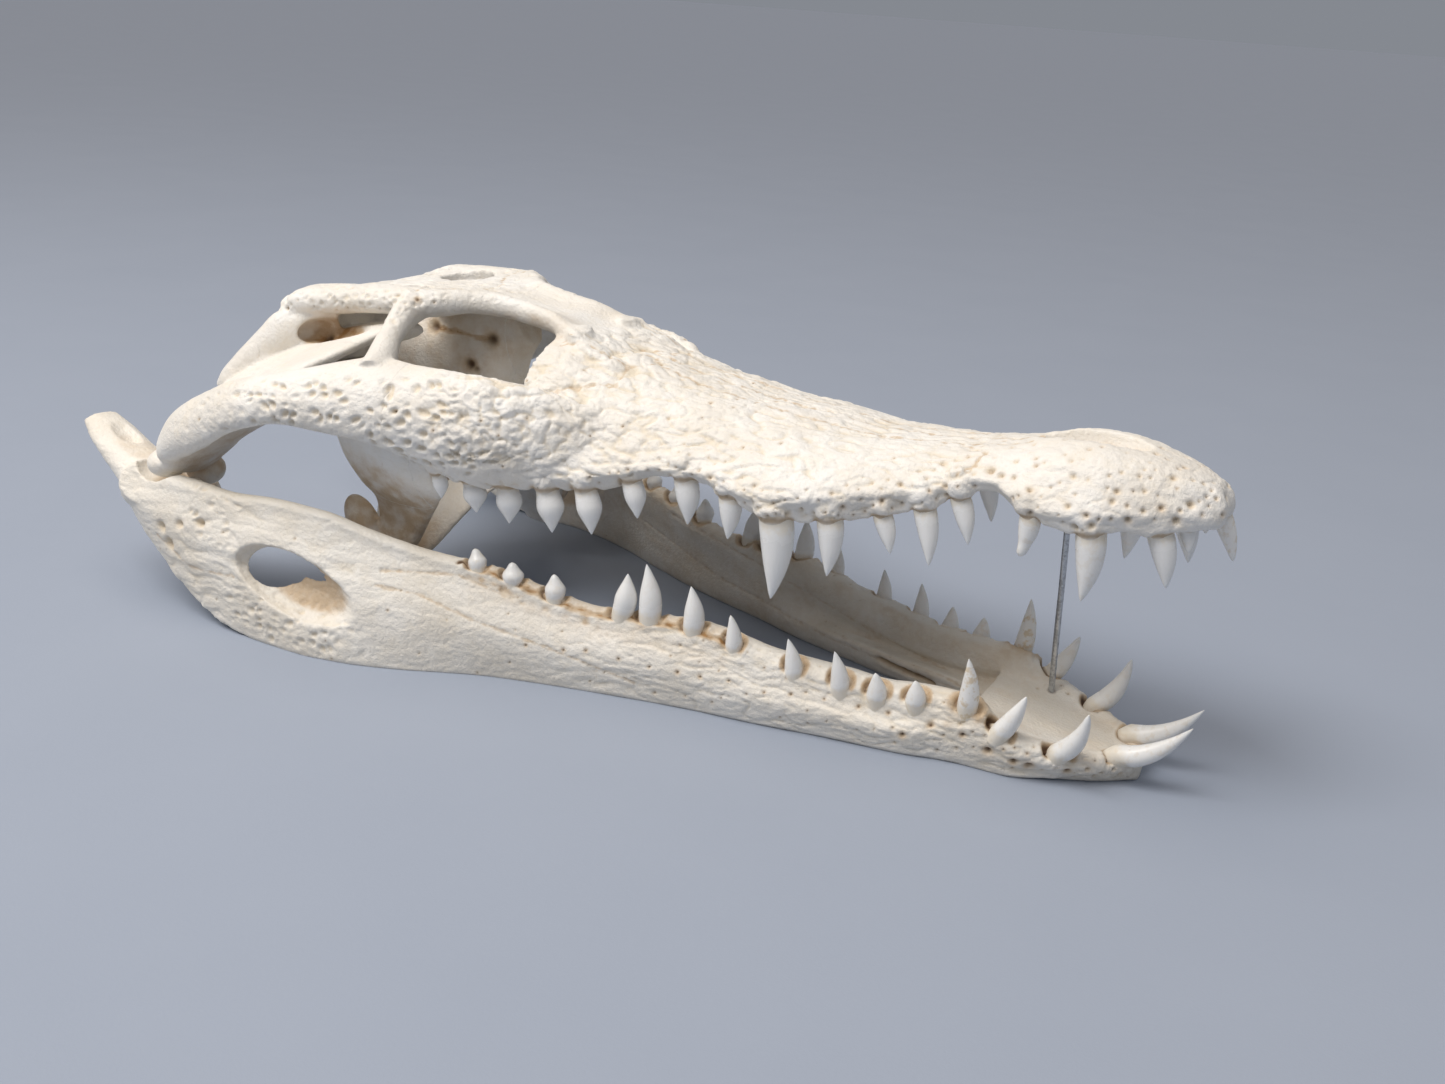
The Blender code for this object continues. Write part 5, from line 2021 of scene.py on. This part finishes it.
@dataclass
class PropWire:
    """The wire that holds the jaws apart."""

    foot: tuple = (367.7, 20.4, 14.5)
    top: tuple = (366.0, 9.4, 107.0)
    diameter: float = 2.4
    bend: float = 0.16
    unevenness: float = 0.015
    sides: int = 20
    rings: int = 61

    def middle(self) -> Vector:
        """The wire's middle, as the lower jaw's stations count."""
        return (Vector(self.foot) + Vector(self.top)) / 2

    def build(self, shift: Vector, collection: Collection) -> Object:
        """The wire, with the slight bends of wire straightened by hand.

        Args:
            shift: How far the skull's stations lie from its place.
            collection: Where the wire goes.

        Returns:
            The wire.
        """
        start, end = Vector(self.foot) + shift, Vector(self.top) + shift
        axis = (end - start).normalized()
        side = axis.cross(Vector((1, 0, 0))).normalized()
        other = axis.cross(side)
        rings = []
        for share in np.linspace(0, 1, self.rings):
            sway = self.bend * math.sin(share * 9.4) * math.sin(share * math.pi)
            middle = start + (end - start) * share + side * sway + other * sway * 0.6
            swell = 1 - self.unevenness + self.unevenness * math.sin(share * 23)
            radius = self.diameter / 2 * swell
            ring = [side * math.cos(a) + other * math.sin(a) for a in full_turn(self.sides)]
            rings.append([middle + out * radius for out in ring])
        wire = loft("wire", rings, collection)
        wire.data.shade_smooth()
        wire.data.set_sharp_from_angle(angle=math.radians(50))
        return wire


# The colour sockets of Blender's mix node: first colour, second colour, result
MIX_FIRST, MIX_SECOND, MIX_RESULT = 6, 7, 2


class Shader:
    """A material's nodes, built one call at a time."""

    def __init__(self, name: str) -> None:
        """Starts a material with one principled shader.

        Args:
            name: The material's name.
        """
        self.material = bpy.data.materials.new(name)
        self.material.use_nodes = True
        self.tree = self.material.node_tree
        self.surface = self.tree.nodes["Principled BSDF"]
        self.place = self.tree.nodes.new("ShaderNodeTexCoord").outputs["Object"]

    def feed(self, socket: NodeSocket, value: object) -> None:
        """Links a node's output to a socket, or sets the socket.

        Args:
            socket: The socket.
            value: Another socket, a number, or a colour as red, green and blue.
        """
        if isinstance(value, NodeSocket):
            self.tree.links.new(value, socket)
        elif isinstance(value, tuple) and len(value) == 3 and socket.type == "RGBA":
            socket.default_value = (*value, 1)
        else:
            socket.default_value = value

    def dress(self, **inputs: object) -> None:
        """Links or sets the surface's own sockets, by their names with _ for a space."""
        for name, value in inputs.items():
            self.feed(self.surface.inputs[name.replace("_", " ")], value)

    def node(self, kind: str, inputs: dict, **options: object) -> Node:
        """Adds a node.

        Args:
            kind: Its type, without the ShaderNode that Blender puts before it.
            inputs: What its sockets are linked or set to, by their names or numbers.
            options: Its own settings.

        Returns:
            The node.
        """
        node = self.tree.nodes.new(f"ShaderNode{kind}")
        for name, value in options.items():
            setattr(node, name, value)
        for socket, value in inputs.items():
            self.feed(node.inputs[socket], value)
        return node

    def mask(self, name: str) -> NodeSocket:
        """A mask that was written on the mesh."""
        return self.node("Attribute", {}, attribute_name=name).outputs["Fac"]

    def stretched(self, scale: tuple) -> NodeSocket:
        """The object's own coordinates, scaled along each axis."""
        return self.node("Mapping", {"Vector": self.place, "Scale": scale}).outputs["Vector"]

    def noise(
        self, size: float, detail: float = 3.0, rough: float = 0.55, place: NodeSocket | None = None
    ) -> NodeSocket:
        """Soft noise.

        Args:
            size: The blobs' size, in millimetres.
            detail: How many finer layers are added.
            rough: How strong those are.
            place: Other coordinates than the object's own.

        Returns:
            The noise, from 0 to 1.
        """
        inputs = {"Vector": place or self.place, "Scale": 1 / (size * MM)}
        inputs |= {"Detail": detail, "Roughness": rough}
        return self.node("TexNoise", inputs).outputs["Fac"]

    def between(
        self, value: NodeSocket, low: float, high: float, start: float = 0.0, end: float = 1.0
    ) -> NodeSocket:
        """Maps a value smoothly from one range to another.

        Args:
            value: The value.
            low: Where the result is start.
            high: Where the result is end.
            start: The result at low and beyond it.
            end: The result at high and beyond it.

        Returns:
            The mapped value.
        """
        inputs = {"Value": value, "From Min": low, "From Max": high, "To Min": start, "To Max": end}
        node = self.node("MapRange", inputs, interpolation_type="SMOOTHSTEP")
        return node.outputs["Result"]

    def reckon(self, kind: str, a: object, b: object) -> NodeSocket:
        """Adds, multiplies or otherwise joins two values, by Blender's name for that."""
        return self.node("Math", {0: a, 1: b}, operation=kind).outputs[0]

    def part(self, value: NodeSocket, share: object) -> NodeSocket:
        """A value times a share."""
        return self.reckon("MULTIPLY", value, share)

    def mix(self, share: object, a: object, b: object) -> NodeSocket:
        """Colour a where share is 0 and colour b where it is 1."""
        inputs = {"Factor": share, MIX_FIRST: a, MIX_SECOND: b}
        return self.node("Mix", inputs, data_type="RGBA").outputs[MIX_RESULT]

    def bump(self, height: NodeSocket, depth: float, under: NodeSocket | None = None) -> NodeSocket:
        """Fine relief.

        Args:
            height: The height, from 0 to 1.
            depth: How many millimetres that stands for.
            under: Relief that this one lies on.

        Returns:
            The surface's normal.
        """
        inputs = {"Strength": 1.0, "Distance": depth * MM, "Height": height}
        if under is not None:
            inputs["Normal"] = under
        return self.node("Bump", inputs).outputs["Normal"]


@dataclass(frozen=True)
class BoneFinish:
    """Dry cleaned bone with ochre stains, beige hollows that are partly painted shade, and vessel
    holes filled with painted shade.
    """

    name: str
    base: tuple = (0.81, 0.765, 0.69)
    pale: tuple = (0.88, 0.855, 0.805)
    cream: tuple = (0.74, 0.64, 0.48)
    beige: tuple = (0.60, 0.46, 0.31)
    ochre: tuple = (0.36, 0.195, 0.07)
    # Deep brown painted shade for holes, slits and socket gaps
    hole: tuple = (0.10, 0.05, 0.022)
    cloud_size: float = 28
    patch_size: float = 7
    fleck_size: float = 1.3
    speck_size: float = 2.1
    pore_size: float = 1.5
    pore_depth: float = 0.5
    grain_size: float = 0.45
    grain_depth: float = 0.12
    # How far pits and grooves move towards cream: painted shade with some tan
    cavity_shade_and_tan_share: float = 0.68
    roughness: float = 0.5
    shine: float = 0.4

    def material(self) -> Material:
        """Builds the material.

        Returns:
            The material.
        """
        s = Shader(self.name)
        clouds = s.between(s.noise(self.cloud_size, 3), 0.35, 0.62)
        patches = s.between(s.noise(self.patch_size, 4), 0.42, 0.72)
        flecks = s.between(s.noise(self.fleck_size, 3, 0.6), 0.35, 0.7)
        colour = s.mix(clouds, self.base, self.pale)
        colour = s.mix(s.part(patches, 0.3), colour, self.cream)
        colour = s.mix(s.part(flecks, 0.22), colour, self.pale)
        specks = s.between(s.noise(self.speck_size, 2, 0.7), 0.67, 0.74)
        colour = s.mix(s.part(specks, 0.28), colour, self.beige)
        # Painted shade, with some tan, in the relief's pits and grooves
        colour = s.mix(s.part(s.mask("cavity"), self.cavity_shade_and_tan_share), colour, self.cream)
        uneven = s.between(s.noise(3, 3), 0.35, 0.65, 0.8, 1.15)
        # The stain mask holds real stains and, in the hollows and on inner faces, painted shade
        stain = s.part(s.mask("stain"), uneven)
        colour = s.mix(s.between(stain, 0.0, 0.42), colour, self.beige)
        colour = s.mix(s.between(stain, 0.42, 0.95), colour, self.ochre)
        # Painted shade in holes, slits and socket gaps
        colour = s.mix(s.between(s.mask("dark"), 0.12, 0.95), colour, self.hole)
        low, high = self.roughness - 0.06, self.roughness + 0.1
        grain = s.bump(s.noise(self.grain_size, 3, 0.6), self.grain_depth)
        s.dress(
            Base_Color=colour,
            Roughness=s.between(patches, 0, 1, low, high),
            Specular_IOR_Level=self.shine,
            Normal=s.bump(s.noise(self.pore_size, 4, 0.6), self.pore_depth, grain),
        )
        return s.material


@dataclass(frozen=True)
class EnamelFinish:
    """Tooth enamel with a creamy neck, a cool tip and faint ribs."""

    name: str = "tooth_enamel"
    crown: tuple = (0.89, 0.88, 0.85)
    tip: tuple = (0.83, 0.84, 0.83)
    neck: tuple = (0.84, 0.78, 0.67)
    stain: tuple = (0.62, 0.45, 0.22)
    rib_size: float = 0.8
    rib_stretch: tuple = (1, 1, 0.12)
    rib_depth: float = 0.12
    grain_size: float = 0.35
    grain_depth: float = 0.02
    roughness: float = 0.24
    neck_roughness: float = 0.48

    def material(self) -> Material:
        """Builds the material.

        Returns:
            The material.
        """
        s = Shader(self.name)
        wobble = s.between(s.noise(2.5, 2), 0.3, 0.7, -0.04, 0.04)
        rise = s.reckon("ADD", s.mask("rise"), wobble)
        streaks = s.noise(self.rib_size, 3, 0.6, s.stretched(self.rib_stretch))
        colour = s.mix(s.between(rise, 0.0, 0.17), self.neck, self.crown)
        colour = s.mix(s.between(rise, 0.72, 1.0, 0, 0.8), colour, self.tip)
        colour = s.mix(s.between(streaks, 0.5, 0.78, 0, 0.16), colour, self.neck)
        blotch = s.between(s.noise(3.2, 3), 0.5, 0.66, 0.06, 0.7)
        colour = s.mix(s.part(s.mask("stain"), blotch), colour, self.stain)
        ribs = s.bump(streaks, self.rib_depth)
        s.dress(
            Base_Color=colour,
            Roughness=s.between(rise, 0.0, 0.3, self.neck_roughness, self.roughness),
            Normal=s.bump(s.noise(self.grain_size, 2), self.grain_depth, ribs),
        )
        return s.material


@dataclass(frozen=True)
class WireFinish:
    """Dull galvanised wire."""

    name: str = "galvanised_wire"
    base: tuple = (0.56, 0.58, 0.60)
    dull: tuple = (0.36, 0.37, 0.385)
    spot_size: float = 1.5
    line_size: float = 0.5
    line_stretch: tuple = (1, 1, 0.05)
    line_depth: float = 0.03
    roughness: float = 0.28
    dull_roughness: float = 0.5
    metallic: float = 0.9

    def material(self) -> Material:
        """Builds the material.

        Returns:
            The material.
        """
        s = Shader(self.name)
        spots = s.between(s.noise(self.spot_size, 4, 0.65), 0.4, 0.65)
        drawn = s.noise(self.line_size, 2, 0.5, s.stretched(self.line_stretch))
        s.dress(
            Base_Color=s.mix(spots, self.base, self.dull),
            Roughness=s.between(spots, 0, 1, self.roughness, self.dull_roughness),
            Metallic=self.metallic,
            Normal=s.bump(drawn, self.line_depth),
        )
        return s.material


@dataclass(frozen=True)
class FloorFinish:
    """Plain pale card."""

    name: str = "pale_card"
    base: tuple = (0.325, 0.365, 0.44)
    shade: tuple = (0.305, 0.345, 0.42)
    cloud_size: float = 90
    grain_size: float = 1.2
    grain_depth: float = 0.05
    roughness: float = 0.9

    def material(self) -> Material:
        """Builds the material.

        Returns:
            The material.
        """
        s = Shader(self.name)
        s.dress(
            Base_Color=s.mix(s.noise(self.cloud_size, 3), self.base, self.shade),
            Roughness=self.roughness,
            Normal=s.bump(s.noise(self.grain_size, 3), self.grain_depth),
        )
        return s.material


@dataclass
class Studio:
    """The pale floor, the soft light and the camera.

    The window's place and aim are in metres, and the camera's aim is in millimetres among the
    lower jaw's stations.
    """

    shift: Vector
    floor_size: float = 60.0
    room_colour: tuple = (0.235, 0.25, 0.28)
    window_place: tuple = (-0.45, -0.75, 1.5)
    window_aim: tuple = (0.0, 0.0, 0.06)
    window_size: float = 0.9
    window_power: float = 17.0
    window_colour: tuple = (0.99, 0.985, 0.985)
    ceiling_direction: tuple = (-0.25, -0.3, 1.0)
    ceiling_spread: float = 70.0
    ceiling_power: float = 1.66
    ceiling_colour: tuple = (1.0, 0.885, 0.76)
    camera_aim: tuple = (228.39, 0.3, 50.02)
    focal_pixels: float = 1500
    photo_width: float = 1445
    sensor_width: float = 36
    clip_start: float = 0.01
    azimuth: float = 27.828
    elevation: float = 20.109
    roll: float = 3.962
    distance: float = 0.61982

    def build(self, collection: Collection) -> Object:
        """Adds the floor, the lights and the camera.

        Args:
            collection: Where they go.

        Returns:
            The floor.
        """
        half = self.floor_size / 2 / MM
        corners = [(-half, -half, 0), (half, -half, 0), (half, half, 0), (-half, half, 0)]
        floor = add_mesh("floor", corners, [(0, 1, 2, 3)], collection)
        floor.data.materials.append(FloorFinish().material())
        self.light_room()
        self.add_window(collection)
        self.add_ceiling(collection)
        self.add_camera(collection)
        return floor

    def light_room(self) -> None:
        """Sets a dim even light from all round, and shows colours as they are."""
        world = bpy.data.worlds.new("soft_room")
        world.use_nodes = True
        background = world.node_tree.nodes["Background"]
        background.inputs["Color"].default_value = (*self.room_colour, 1)
        background.inputs["Strength"].default_value = 1.0
        bpy.context.scene.world = world
        bpy.context.scene.view_settings.view_transform = "Standard"

    def add_window(self, collection: Collection) -> None:
        """Adds a large soft light that faces the skull.

        Args:
            collection: Where it goes.
        """
        lamp = bpy.data.lights.new("window_light", "AREA")
        lamp.size = self.window_size
        lamp.energy = self.window_power
        lamp.color = self.window_colour
        obj = add_object("window_light", lamp, collection)
        obj.location = self.window_place
        away = Vector(self.window_place) - Vector(self.window_aim)
        obj.rotation_euler = away.to_track_quat("Z", "Y").to_euler()

    def add_ceiling(self, collection: Collection) -> None:
        """Adds a very wide soft light from high on the left, even over the whole floor.

        Args:
            collection: Where it goes.
        """
        lamp = bpy.data.lights.new("ceiling_light", "SUN")
        lamp.energy = self.ceiling_power
        lamp.angle = math.radians(self.ceiling_spread)
        lamp.color = self.ceiling_colour
        obj = add_object("ceiling_light", lamp, collection)
        obj.rotation_euler = Vector(self.ceiling_direction).to_track_quat("Z", "Y").to_euler()

    def add_camera(self, collection: Collection) -> None:
        """Sets the camera where the photograph's was.

        Args:
            collection: Where it goes.
        """
        camera = add_object("camera", bpy.data.cameras.new("camera"), collection)
        camera.data.sensor_width = self.sensor_width
        camera.data.lens = self.focal_pixels / self.photo_width * self.sensor_width
        camera.data.clip_start = self.clip_start
        around, over = math.radians(self.azimuth), math.radians(self.elevation)
        level = math.cos(over)
        back = Vector((math.sin(around) * level, -math.cos(around) * level, math.sin(over)))
        aim = Vector(self.camera_aim) + Vector((self.shift.x, 0, self.shift.z))
        camera.location = aim * MM + back * self.distance
        roll = Matrix.Rotation(math.radians(self.roll), 3, "Z")
        turn = back.to_track_quat("Z", "Y").to_matrix() @ roll
        camera.rotation_euler = turn.to_euler()
        bpy.context.scene.camera = camera


CRANIUM_BONE = BoneFinish("cranium_bone")
JAW_BONE = BoneFinish("jaw_bone", base=(0.785, 0.725, 0.625), pale=(0.865, 0.825, 0.75))


def hand_in(piece: Object, material: Material, nodes: tuple) -> None:
    """Dresses a piece, ties it to the frame and reports it.

    Args:
        piece: The piece.
        material: Its material.
        nodes: The solids that it stands for.
    """
    piece.data.materials.clear()
    piece.data.materials.append(material)
    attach(piece, "root")
    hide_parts(*nodes)
    LOG.info("%s: %d faces", piece.name, len(piece.data.polygons))


def main() -> None:
    """Builds the skull and its studio."""
    logging.basicConfig(level=logging.INFO, format="%(message)s")
    wire = PropWire()
    low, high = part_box("prop_wire")
    shift = (low + high) / 2 / MM - wire.middle()
    skull = new_collection("skull")
    cranium = Cranium(shift)
    jaw = LowerJaw(cranium, wire.foot)
    cranium_bone = CRANIUM_BONE.material()
    jaw_bone = JAW_BONE.material()
    enamel = EnamelFinish().material()

    upper = cranium.build_whole(skull)
    cranium.carve_relief(upper)
    for node, bone in cranium.part_bones(upper, skull).items():
        bone.data.shade_smooth()
        hand_in(bone, cranium_bone, (node,))
    lower = jaw.build_whole(skull)
    jaw.carve_relief(lower)
    for node, bone in jaw.part_halves(lower, skull).items():
        bone.data.shade_smooth()
        hand_in(bone, jaw_bone, (node,))
    for side in Side:
        hand_in(cranium.teeth(side).build(skull), enamel, ("snout",))
        half = f"mandible_{side.name.lower()}"
        hand_in(jaw.teeth(side).build(skull), enamel, (half,))
    hand_in(wire.build(shift, skull), WireFinish().material(), ("prop_wire",))

    studio = new_collection("studio")
    Studio(shift).build(studio)


if __name__ == "__main__":
    main()
